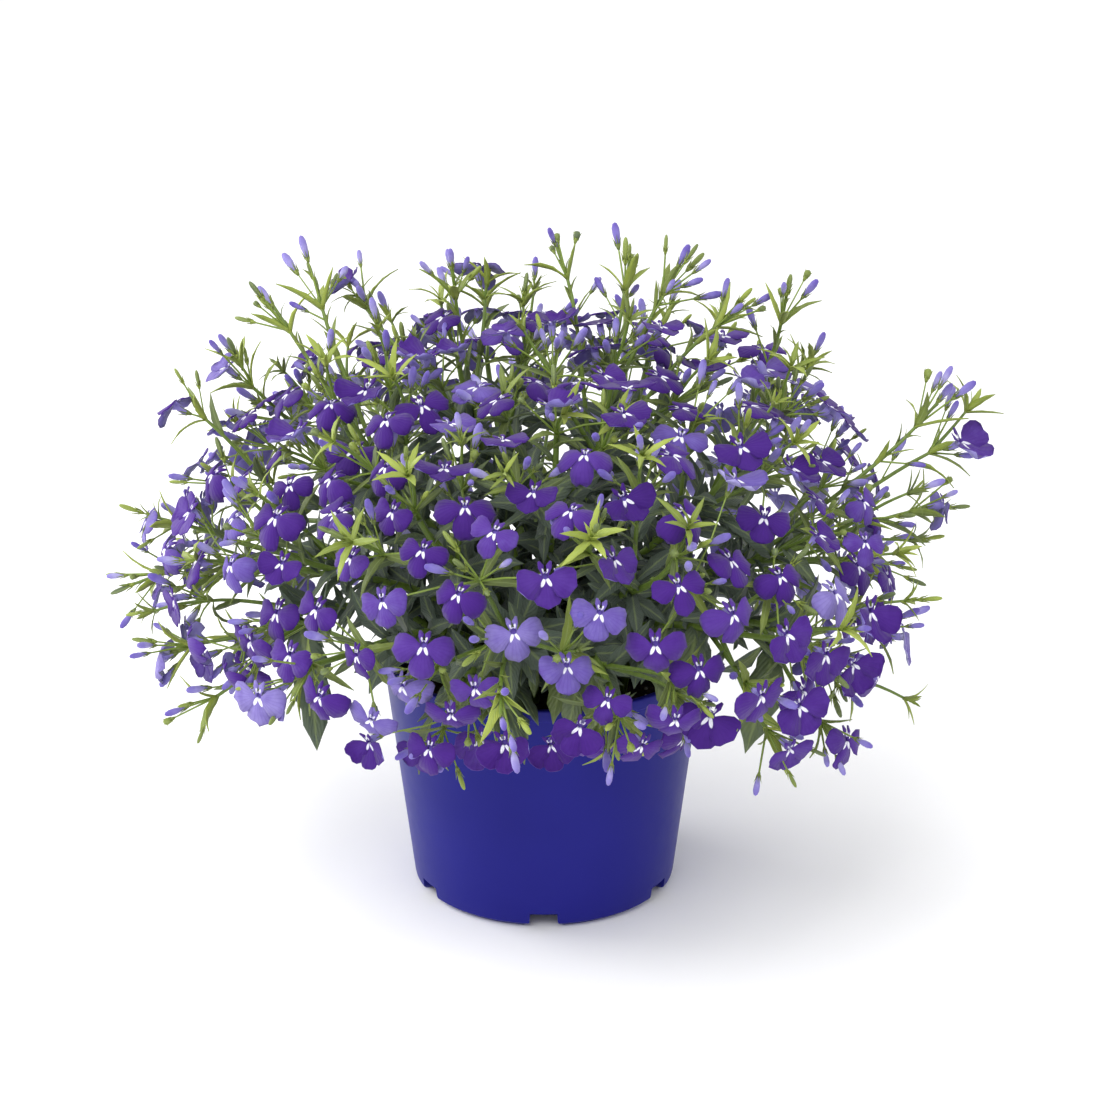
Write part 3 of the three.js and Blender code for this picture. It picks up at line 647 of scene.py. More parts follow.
def add_bloom(shoot, seed):
    """Open one bloom near its seed, turned and set back until it is clear of all others."""
    for attempt in range(TRIES):
        ease = attempt / TRIES
        tilt = (spread(BLOOM_TILT), spread(BLOOM_TILT), spread(BLOOM_TILT))
        facing, lip, across = bloom_frame(seed.normal, tilt, spread(BLOOM_ROLL))
        shift = 0 if seed.outer else BLOOM_SHIFT[0] + BLOOM_SHIFT[1] * ease
        at = plus(seed.at, (spread(shift), spread(shift), spread(shift)))
        size = throw(*BLOOM_SIZE)
        size *= 1 - BLOOM_SIZE_LOSS * ease
        bloom = SimpleNamespace(at=at, size=size, facing=facing, lip=lip, across=across)
        owner = new_owner()
        petals = [(bloom_point(bloom, a, u, f), r * size, owner) for a, u, f, r in BLOOM_FILL]
        bloom.neck = bloom_point(bloom, 0, 0, -TUBE_LENGTH)
        bloom.way = unit(minus(bloom.neck, shoot.end))
        stalk = balls_along(bloom.neck, shoot.end, STALK_RADIUS, owner)
        long = apart(bloom.neck, shoot.end) > SHORTEST_STALK
        behind = dot(bloom.way, facing) > STALK_BEHIND_FACE
        usable = long and behind and has_room_for(shoot, bloom.way)
        if usable and is_clear(petals) and is_clear(stalk, shoot.end, shoot.owner):
            occupy(petals)
            occupy(stalk)
            shoot.blooms.append(bloom)
            return True
    return False


print("blooms from %.1f to %.1f times the plain size" % (BLOOM_SIZE[0], sum(BLOOM_SIZE)))

# %% Open all blooms
def shoot_for(spray, seed):
    """The shoot that can carry a bloom: its own, or the nearest of its spray with a free side."""
    open_shoots = [s for s in (spray.leader, *spray.shoots) if len(s.blooms) < BLOOMS_AT_TIP]
    if seed.shoot and any(seed.shoot is shoot for shoot in open_shoots):
        return seed.shoot
    return min(open_shoots, key=lambda shoot: apart(shoot.end, seed.at))


for spray in sprays:
    spray.missed = [s for s in spray.seeds if not s.shoot or not add_bloom(s.shoot, s)]
for spray in sprays:
    for seed in spray.missed:
        add_bloom(shoot_for(spray, seed), seed)
bloom_count = sum(len(shoot.blooms) for spray in sprays for shoot in (spray.leader, *spray.shoots))
print("blooms:", bloom_count)

# %% [markdown]
# ### Leaves
#
# Each shoot ends in a tuft: one narrow leaf under each flower stalk and others between, to make
# three. Every second stem also keeps one broad old leaf lower down.

# %% One leaf where it has room
LEAF_SPREAD = 0.25
LEAF_ARCH = 0.05
LEAF_TRIES = 8
LEAF_LENGTHS = (0.8, 0.35)
LEAF_EASE = 0.5
# The balls that keep a leaf's room: their share of its width, and the most they take near its
# base and its tip. A blade more than 4 mm wide has a ball to each side of its middle as well.
LEAF_BALLS = {"half": 0.4, "base": 1.4, "tip": 1.1, "wide": 2, "aside": 0.7, "side": 0.5}


def add_leaf(shoot, base, kind, slant, azimuth, room=ROOM):
    """One leaf on a shoot: it leaves at a slant to the shoot, with its blade across it."""
    here = square_to(shoot.way)
    for attempt in range(LEAF_TRIES):
        out = outwards(azimuth + spread(LEAF_SPREAD), here)
        lean = slant + LEAF_EASE * random() * attempt / LEAF_TRIES
        way = outwards(lean, (shoot.way, out))
        length = kind.length * throw(*LEAF_LENGTHS)
        across = unit(cross(shoot.way, out))
        upper = unit(cross(way, across))
        middle = along(along(base, way, length / 2), upper, length * LEAF_ARCH)
        tip = along(base, way, length)
        half = kind.width * LEAF_BALLS["half"]
        owner = new_owner()
        balls = balls_along(base, middle, min(half, LEAF_BALLS["base"]), owner)
        balls += balls_along(middle, tip, LEAF_BALLS["tip"], owner)
        if half > LEAF_BALLS["wide"]:
            for side in (-1, 1):
                beside = along(middle, across, side * half * LEAF_BALLS["aside"])
                balls.append((beside, half * LEAF_BALLS["side"], owner))
        if is_clear(balls, base, shoot.owner, room):
            occupy(balls)
            return SimpleNamespace(base=base, tip=tip, way=way, across=across, upper=upper,
                                   kind=kind, length=length)
    return None


print("tries for a leaf:", LEAF_TRIES)

# %% Tufts of narrow leaves, and broad leaves
NARROW_LEAF = SimpleNamespace(name="narrow", length=17, width=3.4)
BROAD_LEAF = SimpleNamespace(name="broad", length=26, width=9.5)
BROAD_LEAF_PLACE = 0.6
BROAD_LEAF_SLANT = 1.1
LEAF_SLANT = 0.75
LEAF_BELOW_STALK = 0.6


def gap_after(azimuths, i):
    """The turn from one direction of a list to the next one round."""
    if i + 1 < len(azimuths):
        return azimuths[i + 1] - azimuths[i]
    return azimuths[0] + 2 * math.pi - azimuths[i]


def node_azimuths(shoot):
    """Directions round a shoot's end: one for each stalk, and others between, to make three."""
    here = square_to(shoot.way)
    azimuths = sorted(wrapped(angle_in(bloom.way, here)) for bloom in shoot.blooms)
    while len(azimuths) < 3:
        if azimuths:
            gaps = [gap_after(azimuths, i) for i in range(len(azimuths))]
            widest = gaps.index(max(gaps))
            share = 1 / 3 if len(azimuths) == 1 else 1 / 2
            azimuths.append(wrapped(azimuths[widest] + gaps[widest] * share))
        else:
            azimuths.append(0)
        azimuths.sort()
    return azimuths


def add_tuft(shoot):
    here = square_to(shoot.way)
    base = along(shoot.end, shoot.way, -NODE_SPACING / 2)
    shoot.leaves = []
    for azimuth in node_azimuths(shoot):
        under = [b for b in shoot.blooms if wrapped(angle_in(b.way, here)) == azimuth]
        slant = math.acos(dot(under[0].way, shoot.way)) + LEAF_BELOW_STALK if under else LEAF_SLANT
        shoot.leaves.append(add_leaf(shoot, base, NARROW_LEAF, slant, azimuth))
    shoot.leaves = [leaf for leaf in shoot.leaves if leaf]


for spray in sprays:
    for shoot in (spray.leader, *spray.shoots):
        add_tuft(shoot)
    if spray.index % 2 == 1:
        azimuth = random() * 2 * math.pi
        base = stem_point(spray, BROAD_LEAF_PLACE)
        leaf = add_leaf(spray.leader, base, BROAD_LEAF, BROAD_LEAF_SLANT, azimuth)
        spray.broad_leaves += [leaf] if leaf else []
tufts = [shoot.leaves for spray in sprays for shoot in (spray.leader, *spray.shoots)]
print("tuft leaves:", sum(len(tuft) for tuft in tufts))
print("broad leaves:", sum(len(spray.broad_leaves) for spray in sprays))

# %% [markdown]
# ## What the solids leave out
#
# The solids hold one tuft of leaves to a shoot. A real plant also has leaves all the way up its
# stems, short growing tips that stand out between the flowers, and buds on fine stalks. They take
# what room is left, by the same test, after everything else has its place. Soft leaves may brush
# against each other, so they ask for less room than the solids do, and those in the shade may
# overlap freely.
#
# Every leaf gets a tint. Old leaves deep in the plant are dark and bluish, young ones at its face
# light and yellowish. The tint also darkens with depth as painted shade, and this difference is
# what gives the plant its depth.

# %% Kinds of leaf, and how old each one looks, with painted shade deep in the plant
DETAIL_ROOM = -0.25
SHADE_ROOM = -2.0
SHADE_REACH = 0.78
SHADE_LEAF = SimpleNamespace(name="shade", length=21, width=7.5)
STEM_LEAF = SimpleNamespace(name="narrow", length=18, width=3.4)
TIP_LEAF = SimpleNamespace(name="narrow", length=11.5, width=2.2)
YOUNG_LEAF = SimpleNamespace(name="narrow", length=13.5, width=2.6)
SMALL_LEAF = SimpleNamespace(name="narrow", length=9.5, width=1.9)
TINY_LEAF = SimpleNamespace(name="narrow", length=7, width=1.4)
TUFT_TINTS = (0.15, 0.95)
BROAD_TINT = (0.05, 0.15)


def reach_of(point):
    """How far out in the dome a place is, from 0 at its middle to 1 at its face."""
    height = point[2] - DOME_CENTRE_HEIGHT
    height /= DOME_RISE if height > 0 else DOME_FALL
    return math.sqrt((point[0] ** 2 + point[1] ** 2) / DOME_RADIUS**2 + height**2)


def age_and_painted_shade_at(point, least, most):
    """Leaves deep in the plant are old and dark, a darkness that is partly painted shade. Those at its face
    are young and light.
    """
    return least + (most - least) * min(1, reach_of(point)) ** 3 * throw(0.5, 0.5)


# A tuft leaf's tint falls with its depth in the dome: partly its age, partly painted shade.
for spray in sprays:
    for shoot in (spray.leader, *spray.shoots):
        for leaf in shoot.leaves:
            leaf.tint = age_and_painted_shade_at(leaf.tip, *TUFT_TINTS)
    for leaf in spray.broad_leaves:
        leaf.tint = throw(*BROAD_TINT)
tints = [leaf.tint for tuft in tufts for leaf in tuft]
print("tints of the tuft leaves: %.2f to %.2f" % (min(tints), max(tints)))

# %% Lines along the stems and side shoots
STEM_FOOT_DEPTH = 6
STEM_STEPS = 16
SHOOT_STEPS = 8
SHOOT_CURVE = {"leave": 0.4, "arrive": 0.25}


def shoot_line(shoot):
    """A side shoot leaves its stem, bends to the light and arrives in the direction of its tip."""
    ahead = unit(minus(shoot.end, shoot.root))
    long = apart(shoot.root, shoot.end)
    controls = [
        shoot.root,
        along(shoot.root, ahead, long * SHOOT_CURVE["leave"]),
        along(shoot.end, shoot.way, -long * SHOOT_CURVE["arrive"]),
        shoot.end,
    ]
    return [curve_point(controls, i / SHOOT_STEPS) for i in range(SHOOT_STEPS + 1)] + [shoot.tip]


def stem_line(spray):
    foot = (spray.points[0][0], spray.points[0][1], COMPOST_LEVEL - STEM_FOOT_DEPTH)
    return [foot] + [curve_point(spray.controls, i / STEM_STEPS) for i in range(STEM_STEPS + 1)]


def line_length(points):
    return sum(apart(a, b) for a, b in zip(points, points[1:]))


def place_on(points, share):
    """Point and direction at a share of the way along a line of points."""
    place = min(share, 0.9999) * (len(points) - 1)
    step = int(place)
    ahead = unit(minus(points[step + 1], points[step]))
    return between(points[step], points[step + 1], place - step), ahead


for spray in sprays:
    spray.line = stem_line(spray)
    for shoot in spray.shoots:
        shoot.line = shoot_line(shoot)
print("longest stem: %.0f mm" % max(line_length(spray.line) for spray in sprays))

# %% [markdown]
# ### Growing tips
#
# A shoot grows on past its open flowers and ends in a small rosette of young leaves, which looks
# like a light green star from outside. Each is tried at several lengths, the longest first, so
# that tips stand out of the flowers where there is a gap for them. The outer ring of the plant is
# airier than its middle, so it keeps fewer of them.

# %% A star of young leaves
STAR_LEAVES = 5
STAR_SLANT = (0.6, 0.6)
STAR_DEPTH = 2.5
HEART_LEAVES = 2
HEART_SLANT = (0.25, 0.2)
HEART_ROOM = -1
BIG_STAR_SHARE = 0.4
BIG_STAR_TINTS = (0.4, 1.0)
SMALL_STAR_TINTS = (0.25, 0.8)
STAR_TINT_SPREAD = 0.12


def star_of(sprout):
    """Young leaves all round the end of a growing tip, and two tiny ones in their heart."""
    turn = random() * 2 * math.pi
    kind = YOUNG_LEAF if random() < BIG_STAR_SHARE else SMALL_LEAF
    # This tint falls with depth in the dome: partly age, partly painted shade.
    age = age_and_painted_shade_at(sprout.end, *(BIG_STAR_TINTS if kind is YOUNG_LEAF else SMALL_STAR_TINTS))
    leaves = []
    for i in range(STAR_LEAVES):
        slant = throw(*STAR_SLANT)
        azimuth = turn + i * 2 * math.pi / STAR_LEAVES
        base = along(sprout.end, sprout.way, -STAR_DEPTH * random())
        leaves.append(add_leaf(sprout, base, kind, slant, azimuth, DETAIL_ROOM))
    for i in range(HEART_LEAVES):
        slant = throw(*HEART_SLANT)
        leaves.append(
            add_leaf(sprout, sprout.end, TINY_LEAF, slant, turn + i * math.pi, HEART_ROOM)
        )
    leaves = [leaf for leaf in leaves if leaf]
    for leaf in leaves:
        leaf.tint = age + STAR_TINT_SPREAD * spread(1)
    return leaves


print("leaves of a star:", STAR_LEAVES + HEART_LEAVES)

# %% Growing tips
SPROUT_LENGTHS = [21, 17, 13, 9, 6]
SPROUT_SWAY = 0.3
SPROUT_LIFT = 0.1
SPROUT_BOW = {"aside": 0.08, "up": 0.06}
SPROUT_STEPS = 4
SPROUT_BALL = 0.8
SIDE_REACH = 100
SIDE_SHARE = 0.3


def is_at_side(shoot):
    """True in the outer ring of the plant."""
    return math.hypot(shoot.end[0], shoot.end[1]) > SIDE_REACH


def add_sprout(shoot, long):
    """Carry a shoot on past its flowers, if it finds room."""
    sway = (spread(SPROUT_SWAY), spread(SPROUT_SWAY), spread(SPROUT_SWAY) + SPROUT_LIFT)
    way = unit(plus(shoot.way, sway))
    end = along(shoot.end, way, long)
    owner = new_owner()
    balls = balls_along(shoot.end, end, SPROUT_BALL, owner)
    if not is_clear(balls, shoot.end, shoot.owner, 0):
        return None
    occupy(balls)
    bow = (spread(SPROUT_BOW["aside"]), spread(SPROUT_BOW["aside"]), SPROUT_BOW["up"])
    middle = along(between(shoot.end, end, 0.5), bow, long)
    controls = [shoot.end, middle, middle, end]
    line = [curve_point(controls, i / SPROUT_STEPS) for i in range(SPROUT_STEPS + 1)]
    sprout = SimpleNamespace(line=line, end=end, way=way, owner=owner)
    sprout.leaves = star_of(sprout)
    return sprout


for spray in sprays:
    spray.sprouts = []
    for shoot in (spray.leader, *spray.shoots):
        if shoot.spike or (is_at_side(shoot) and random() > SIDE_SHARE):
            continue
        for long in SPROUT_LENGTHS:
            sprout = add_sprout(shoot, long)
            if sprout:
                spray.sprouts.append(sprout)
                break
print("growing tips:", sum(len(spray.sprouts) for spray in sprays))

# %% [markdown]
# ### Buds
#
# Closed flowers stand on hair-fine stalks round each tip, and a few more down the side shoots. A
# number for its kind makes a bud a violet flower bud, a round green one or a long spindle.

# %% One bud on a fine stalk
BUD_SIZE = (0.75, 0.4)
BUD_BALLS = {"stalk": 0.5, "head": 1.5}


def add_bud(host, base, long, lean, azimuth, room=0.0):
    """A bud on a stalk that leaves a shoot at a lean."""
    out = outwards(azimuth, square_to(host.way))
    way = unit(outwards(lean, (host.way, out)))
    tip = along(base, way, long)
    owner = new_owner()
    balls = balls_along(base, tip, BUD_BALLS["stalk"], owner)
    balls.append((along(tip, way, BUD_BALLS["head"]), BUD_BALLS["head"], owner))
    if not is_clear(balls, base, host.owner, room):
        return None
    occupy(balls)
    return SimpleNamespace(base=base, at=tip, way=way, kind=random(), size=throw(*BUD_SIZE))


print("room for a bud's head: %.0f mm" % (2 * BUD_BALLS["head"]))

# %% Buds round the tips and down the side shoots
BUD_TRIES = 5
BUDS_PER_SHOOT = 4
TOP_BUD = {"stalk": (8, 9), "lean": (0.2, 0.6)}
LOW_BUDS = 3
LOW_BUDS_AT_SIDE = 1
LOW_BUD = {"stalk": (6, 8), "lean": (0.5, 0.5), "place": (0.55, 0.4)}
TIP_BUD = {"stalk": (2, 4), "lean": 0.15, "turn": 6.3, "room": -1}
FLOWER_BUD_SHARE = 0.55
SPINDLE_BUD_FROM = 0.68


def top_bud(shoot):
    """One of the buds round a tip, in the first of a few directions that is free."""
    for _ in range(BUD_TRIES):
        long = throw(*TOP_BUD["stalk"])
        lean = throw(*TOP_BUD["lean"])
        bud = add_bud(shoot, shoot.end, long, lean, random() * 2 * math.pi)
        if bud:
            return bud
    return None


def low_bud(shoot):
    """A bud down a side shoot, which is always one of flower."""
    base, ahead = place_on(shoot.line, throw(*LOW_BUD["place"]))
    host = SimpleNamespace(way=ahead, owner=shoot.owner)
    long = throw(*LOW_BUD["stalk"])
    lean = throw(*LOW_BUD["lean"])
    bud = add_bud(host, base, long, lean, random() * 2 * math.pi)
    if bud:
        bud.kind *= FLOWER_BUD_SHARE
    return bud


def tip_bud(sprout):
    long = throw(*TIP_BUD["stalk"])
    azimuth = random() * TIP_BUD["turn"]
    return add_bud(sprout, sprout.end, long, TIP_BUD["lean"], azimuth, TIP_BUD["room"])


for spray in sprays:
    spray.buds = []
    for shoot in (spray.leader, *spray.shoots):
        spray.buds += [top_bud(shoot) for _ in range(BUDS_PER_SHOOT)]
    for shoot in spray.shoots:
        count = LOW_BUDS_AT_SIDE if is_at_side(shoot) else LOW_BUDS
        spray.buds += [low_bud(shoot) for _ in range(count)]
    spray.buds += [tip_bud(sprout) for sprout in spray.sprouts]
    spray.buds = [bud for bud in spray.buds if bud]
print("buds:", sum(len(spray.buds) for spray in sprays))

# %% [markdown]
# ### Leaves up the stems
#
# The plant's inside is full of broad dark leaves, and narrow ones follow each stem out to the
# light. They spiral round the stem by the golden angle, so that none shades the next. They come
# last, in the room that tips and buds have left.

# %% Leaves up the stems and side shoots
def new_habit(kind, part, step, side_step, slant, tints, room=DETAIL_ROOM):
    """How leaves grow on a line: their kind, the part of the line that bears them, the step from
    leaf to leaf in mm in the middle and at the side of the plant, slant, tints and room."""
    return SimpleNamespace(
        kind=kind, part=part, step=step, side_step=side_step, slant=slant, tints=tints, room=room
    )


STEM_HABITS = [
    new_habit(SHADE_LEAF, (0.1, 0.7), 3.2, 3.2, 1.05, (0.1, 0.55), SHADE_ROOM),
    new_habit(STEM_LEAF, (0.5, 0.98), 7, 12, 0.8, (0.05, 0.7)),
]
SHOOT_HABITS = [
    new_habit(SHADE_LEAF, (0.0, 0.5), 5, 9, 1.0, (0.1, 0.5), SHADE_ROOM),
    new_habit(STEM_LEAF, (0.3, 0.9), 8, 20, 0.8, (0.1, 0.75)),
]
SPIKE_HABITS = [
    new_habit(TIP_LEAF, (0.25, 0.75), 5.5, 5.5, 0.5, (0.2, 0.8)),
    new_habit(TINY_LEAF, (0.75, 1), 2.5, 2.5, 0.3, (0.2, 0.7)),
]
SPIKE_BUD = {"back": 2, "stalk": 1.5, "lean": 0.1, "room": -3}


def leaves_along(points, owner, habit, at_side):
    """Leaves at even steps along a line, each a golden turn round it from the last."""
    first, last = habit.part
    spacing = habit.side_step if at_side else habit.step
    leaves = []
    count = max(1, round(line_length(points) * (last - first) / spacing))
    turn = random() * 2 * math.pi
    for i in range(count):
        share = first + (last - first) * (i + 0.5) / count
        base, ahead = place_on(points, share)
        host = SimpleNamespace(way=ahead, owner=owner)
        azimuth = turn + i * GOLDEN_ANGLE
        leaf = add_leaf(host, base, habit.kind, habit.slant, azimuth, habit.room)
        if leaf and (habit.kind is not SHADE_LEAF or reach_of(leaf.tip) < SHADE_REACH):
            # Leaves along stems get the same tint by depth: partly age, partly painted shade.
            leaf.tint = age_and_painted_shade_at(leaf.tip, *habit.tints)
            leaves.append(leaf)
    return leaves


def spike_bud(shoot):
    base = along(shoot.tip, shoot.way, -SPIKE_BUD["back"])
    return add_bud(shoot, base, SPIKE_BUD["stalk"], SPIKE_BUD["lean"], 0, SPIKE_BUD["room"])


for spray in sprays:
    spray.extra = []
    for habit in STEM_HABITS:
        owner = spray.leader.owner
        spray.extra += leaves_along(spray.line, owner, habit, is_at_side(spray.leader))
    for shoot in spray.shoots:
        for habit in SPIKE_HABITS if shoot.spike else SHOOT_HABITS:
            spray.extra += leaves_along(shoot.line, shoot.owner, habit, is_at_side(shoot))
        if shoot.spike:
            bud = spike_bud(shoot)
            spray.buds += [bud] if bud else []
print("leaves up the stems:", sum(len(spray.extra) for spray in sprays))

# %% [markdown]
# ### Old leaves over the rim
#
# The lowest leaves are the largest. They droop over the rim of the pot and hide the compost. Their
# tips are listed, and each leaf comes from whatever stem point is best placed above it.

# %% Old leaves that hang over the rim
HANGING_TIPS = [
    (-48, -72, 80), (-79, -58, 76), (76, -60, 75), (20, -72, 82), (-14, -70, 84), (48, -66, 82),
    (2, -68, 91), (33, -66, 90), (-31, -66, 88), (-4, -72, 78), (12, -70, 88), (-22, -64, 90),
    (-10, -65, 88), (-4, -66, 85), (1, -65, 90), (6, -66, 86), (-61, -29, 84), (-64, -12, 87),
    (-52, -44, 86), (40, -56, 87), (35, -50, 96), (38, -46, 100), (-2, -60, 97),
]
HANGING_LEAF = SimpleNamespace(name="broad", length=24, width=8.5)
HANGING_TINT = (0.15, 0.35)
# Its base lies this far further in and higher than its tip, or it is a poor choice.
HANG = {"inwards": 3, "above": 6, "poor": 40, "first_point": 3}


def best_base(tip):
    """The stem point whose distance from a tip is nearest to a leaf's length, and its spray."""
    best = None
    for spray in sprays:
        lines = [spray.line[HANG["first_point"] :], *(shoot.line for shoot in spray.shoots)]
        for base in (point for line in lines for point in line):
            beyond = math.hypot(*base[:2]) > math.hypot(*tip[:2]) - HANG["inwards"]
            miss = abs(apart(base, tip) - HANGING_LEAF.length)
            miss += HANG["poor"] if base[2] < tip[2] + HANG["above"] or beyond else 0
            if best is None or miss < best[0]:
                best = (miss, base, spray)
    return best[1:]


for tip in HANGING_TIPS:
    base, spray = best_base(tip)
    way = unit(minus(tip, base))
    across = unit(cross(way, (0, 0, 1)))
    leaf = SimpleNamespace(base=base, tip=tip, way=way, across=across, upper=cross(across, way))
    leaf.kind = HANGING_LEAF
    leaf.length = apart(base, tip)
    leaf.tint = throw(*HANGING_TINT)
    spray.broad_leaves.append(leaf)
print("hanging leaves:", len(HANGING_TIPS))

# %% [markdown]
# ## Patterns
#
# Each kind of flower and leaf is modelled once and then copied. The tools are the plain ones of
# edit mode: a primitive, edges extruded row by row, and each row put where the form needs it.
# Modifiers give the blades their thickness and are applied at once.

# %% Helpers for modelling
def edit_mesh(piece):
    """Go into edit mode on one piece, and return what its mesh is edited through."""
    bpy.context.view_layer.objects.active = piece
    bpy.ops.object.mode_set(mode="EDIT")
    return bmesh.from_edit_mesh(piece.data)


def leave_edit(piece):
    bmesh.update_edit_mesh(piece.data)
    bpy.ops.object.mode_set(mode="OBJECT")


def choose(piece, test):
    """Select the edges both of whose ends pass a test, and nothing else."""
    bpy.ops.mesh.select_mode(type="EDGE")
    bpy.ops.mesh.select_all(action="DESELECT")
    mesh = bmesh.from_edit_mesh(piece.data)
    for edge in mesh.edges:
        edge.select_set(all(test(vert.co) for vert in edge.verts))
    mesh.select_flush_mode()
    bmesh.update_edit_mesh(piece.data)


def extrude_row(piece, put):
    """Extrude the selected edges and put each new point where it belongs."""
    bpy.ops.mesh.extrude_region_move()
    mesh = bmesh.from_edit_mesh(piece.data)
    for vert in mesh.verts:
        if vert.select:
            vert.co = put(vert.co.copy())
    bmesh.update_edit_mesh(piece.data)
    return mesh


print("modelling starts in mode:", bpy.context.mode)

# %% Thickness, a flat map, and a finished pattern
def add_thickness(piece, thickness, offset, back_slot=0):
    """Make a sheet a thin closed body. The back may take a material of its own."""
    modifier = piece.modifiers.new("thickness", "SOLIDIFY")
    modifier.thickness = thickness
    modifier.offset = offset
    modifier.material_offset = back_slot
    modifier.material_offset_rim = 0
    bpy.context.view_layer.objects.active = piece
    bpy.ops.object.modifier_apply(modifier=modifier.name)


def map_flat(piece, span):
    """Unwrap a piece from the front: its own X and Y over a span, from the middle of the map."""
    layers = piece.data.uv_layers
    layer = layers[0] if layers else layers.new(name="flat")
    for loop in piece.data.loops:
        co = piece.data.vertices[loop.vertex_index].co
        layer.data[loop.index].uv = (co.x / span + 0.5, co.y / span + 0.5)


def take_pattern(piece):
    """Read a finished piece as arrays to copy from, and remove it. Without a map it gets one spot."""
    mesh = piece.data
    arrays = {
        "points": np.empty(len(mesh.vertices) * 3),
        "corners": np.empty(len(mesh.loops), int),
        "sizes": np.empty(len(mesh.polygons), int),
        "slots": np.empty(len(mesh.polygons), int),
        "map": np.empty(len(mesh.loops) * 2),
    }
    mesh.vertices.foreach_get("co", arrays["points"])
    mesh.loops.foreach_get("vertex_index", arrays["corners"])
    mesh.polygons.foreach_get("loop_total", arrays["sizes"])
    mesh.polygons.foreach_get("material_index", arrays["slots"])
    if mesh.uv_layers:
        mesh.uv_layers[0].data.foreach_get("uv", arrays["map"])
    else:
        arrays["map"][:] = 0.5
    arrays["points"] = arrays["points"].reshape(-1, 3)
    arrays["map"] = arrays["map"].reshape(-1, 2)
    bpy.data.objects.remove(piece)
    return SimpleNamespace(**arrays)


print("a pattern is read as points, corners, sizes, slots and a map")

# %% [markdown]
# ### The flower
#
# A lobelia flower is a narrow tube that opens into two lips. The lower lip has three broad lobes,
# two out to the sides and one down, and the upper lip two small upright ones. It starts as the ring
# of the throat. The edges of the ring are extruded lobe by lobe, so that tube and lips are one
# skin, as they are on the plant. Forms that differ in how far the lobes curl keep it from looking
# like wallpaper.

# %% Sizes and forms of the flower
def table(keys, rows):
    """Rows of numbers as dicts, with the same keys in each."""
    return [dict(zip(keys, row)) for row in rows]


THROAT_RADIUS = 1.0
THROAT_SIDES = 12
THROAT_DEPTH = 1.5
THROAT_NARROWING = 0.85
PETAL_THICKNESS = 0.28
FLOWER_SPAN = 24
LOBE_ROWS = [(0.18, 0.55), (0.45, 0.93), (0.72, 1.0), (0.91, 0.8), (1.0, 0.42)]
FINGER_ROWS = [(0.5, 1.0), (1.0, 0.35)]
# Each lobe: its part of the ring and its own axis in degrees, its length, half its width, how far
# its corners are drawn back to make it round, and how far it stands above its neighbours.
LOBE_KEYS = ("ring", "axis", "long", "half", "round", "lift")
LOWER_LOBES = table(LOBE_KEYS, [
    ((-120, -60), -90, 8.2, 3.9, 0.75, 0.0),
    ((-60, 0), -14, 8.0, 4.5, 0.85, 0.35),
    ((-180, -120), -166, 8.0, 4.5, 0.85, 0.35),
])
UPPER_LOBES = table(LOBE_KEYS, [
    ((30, 60), 70, 3.7, 0.9, 0.3, 0.0),
    ((120, 150), 110, 3.7, 0.9, 0.3, 0.0),
])
# Each form: how far the ends of the lobes curl back, how far their sides cup up, how far the
# middle lobe drops, how far the side lobes turn down or up in degrees, and how broad they are.
FORM_KEYS = ("curl", "cup", "drop", "turn", "slim")
FLOWER_FORMS = table(FORM_KEYS, [
    (1.3, -0.5, 0.0, 0, 1.0), (2.6, -0.9, 1.2, 4, 0.93), (0.2, 0.7, -0.8, -13, 1.0),
    (1.8, 0.4, 2.4, 7, 0.88), (-0.9, 0.8, 0.8, -8, 1.0), (4.2, -1.4, 0.6, 3, 0.96),
    (-2.4, 1.5, -0.6, -17, 0.93),
])
UPPER_CURL = {"share": 0.4, "least": 0.5, "cup": 0.3}
print("lower lip about %.0f mm wide" % (2 * (THROAT_RADIUS + LOWER_LOBES[1]["long"])))

# %% Grow a lobe from the throat
RING_SLACK = 0.05
RUFFLE = {"height": 0.35, "along": 9, "across": 3}


def degrees_round(co):
    angle = math.degrees(math.atan2(co.y, co.x))
    return angle - 360 if angle > 179 else angle


def choose_ring(piece, low, high):
    """Select the edges of the throat's ring between two angles in degrees."""

    def on_ring(co):
        off = abs(math.hypot(co.x, co.y) - THROAT_RADIUS * MM)
        near = low - 1 < degrees_round(co) < high + 1
        return near and off < RING_SLACK * MM and abs(co.z) < RING_SLACK * MM

    choose(piece, on_ring)


def lobe_height(lobe, form, u, share, ahead):
    """How high a lobe stands at a share of its length, on its middle (u is 0) or its edges."""
    height = lobe["lift"] * share - form["curl"] * share**2 + form["cup"] * abs(u) * share
    height -= form["drop"] * max(0, -ahead.y) * share**1.5
    ruffle = math.sin(RUFFLE["along"] * share + RUFFLE["across"] * u + lobe["axis"])
    return height + RUFFLE["height"] * ruffle * share


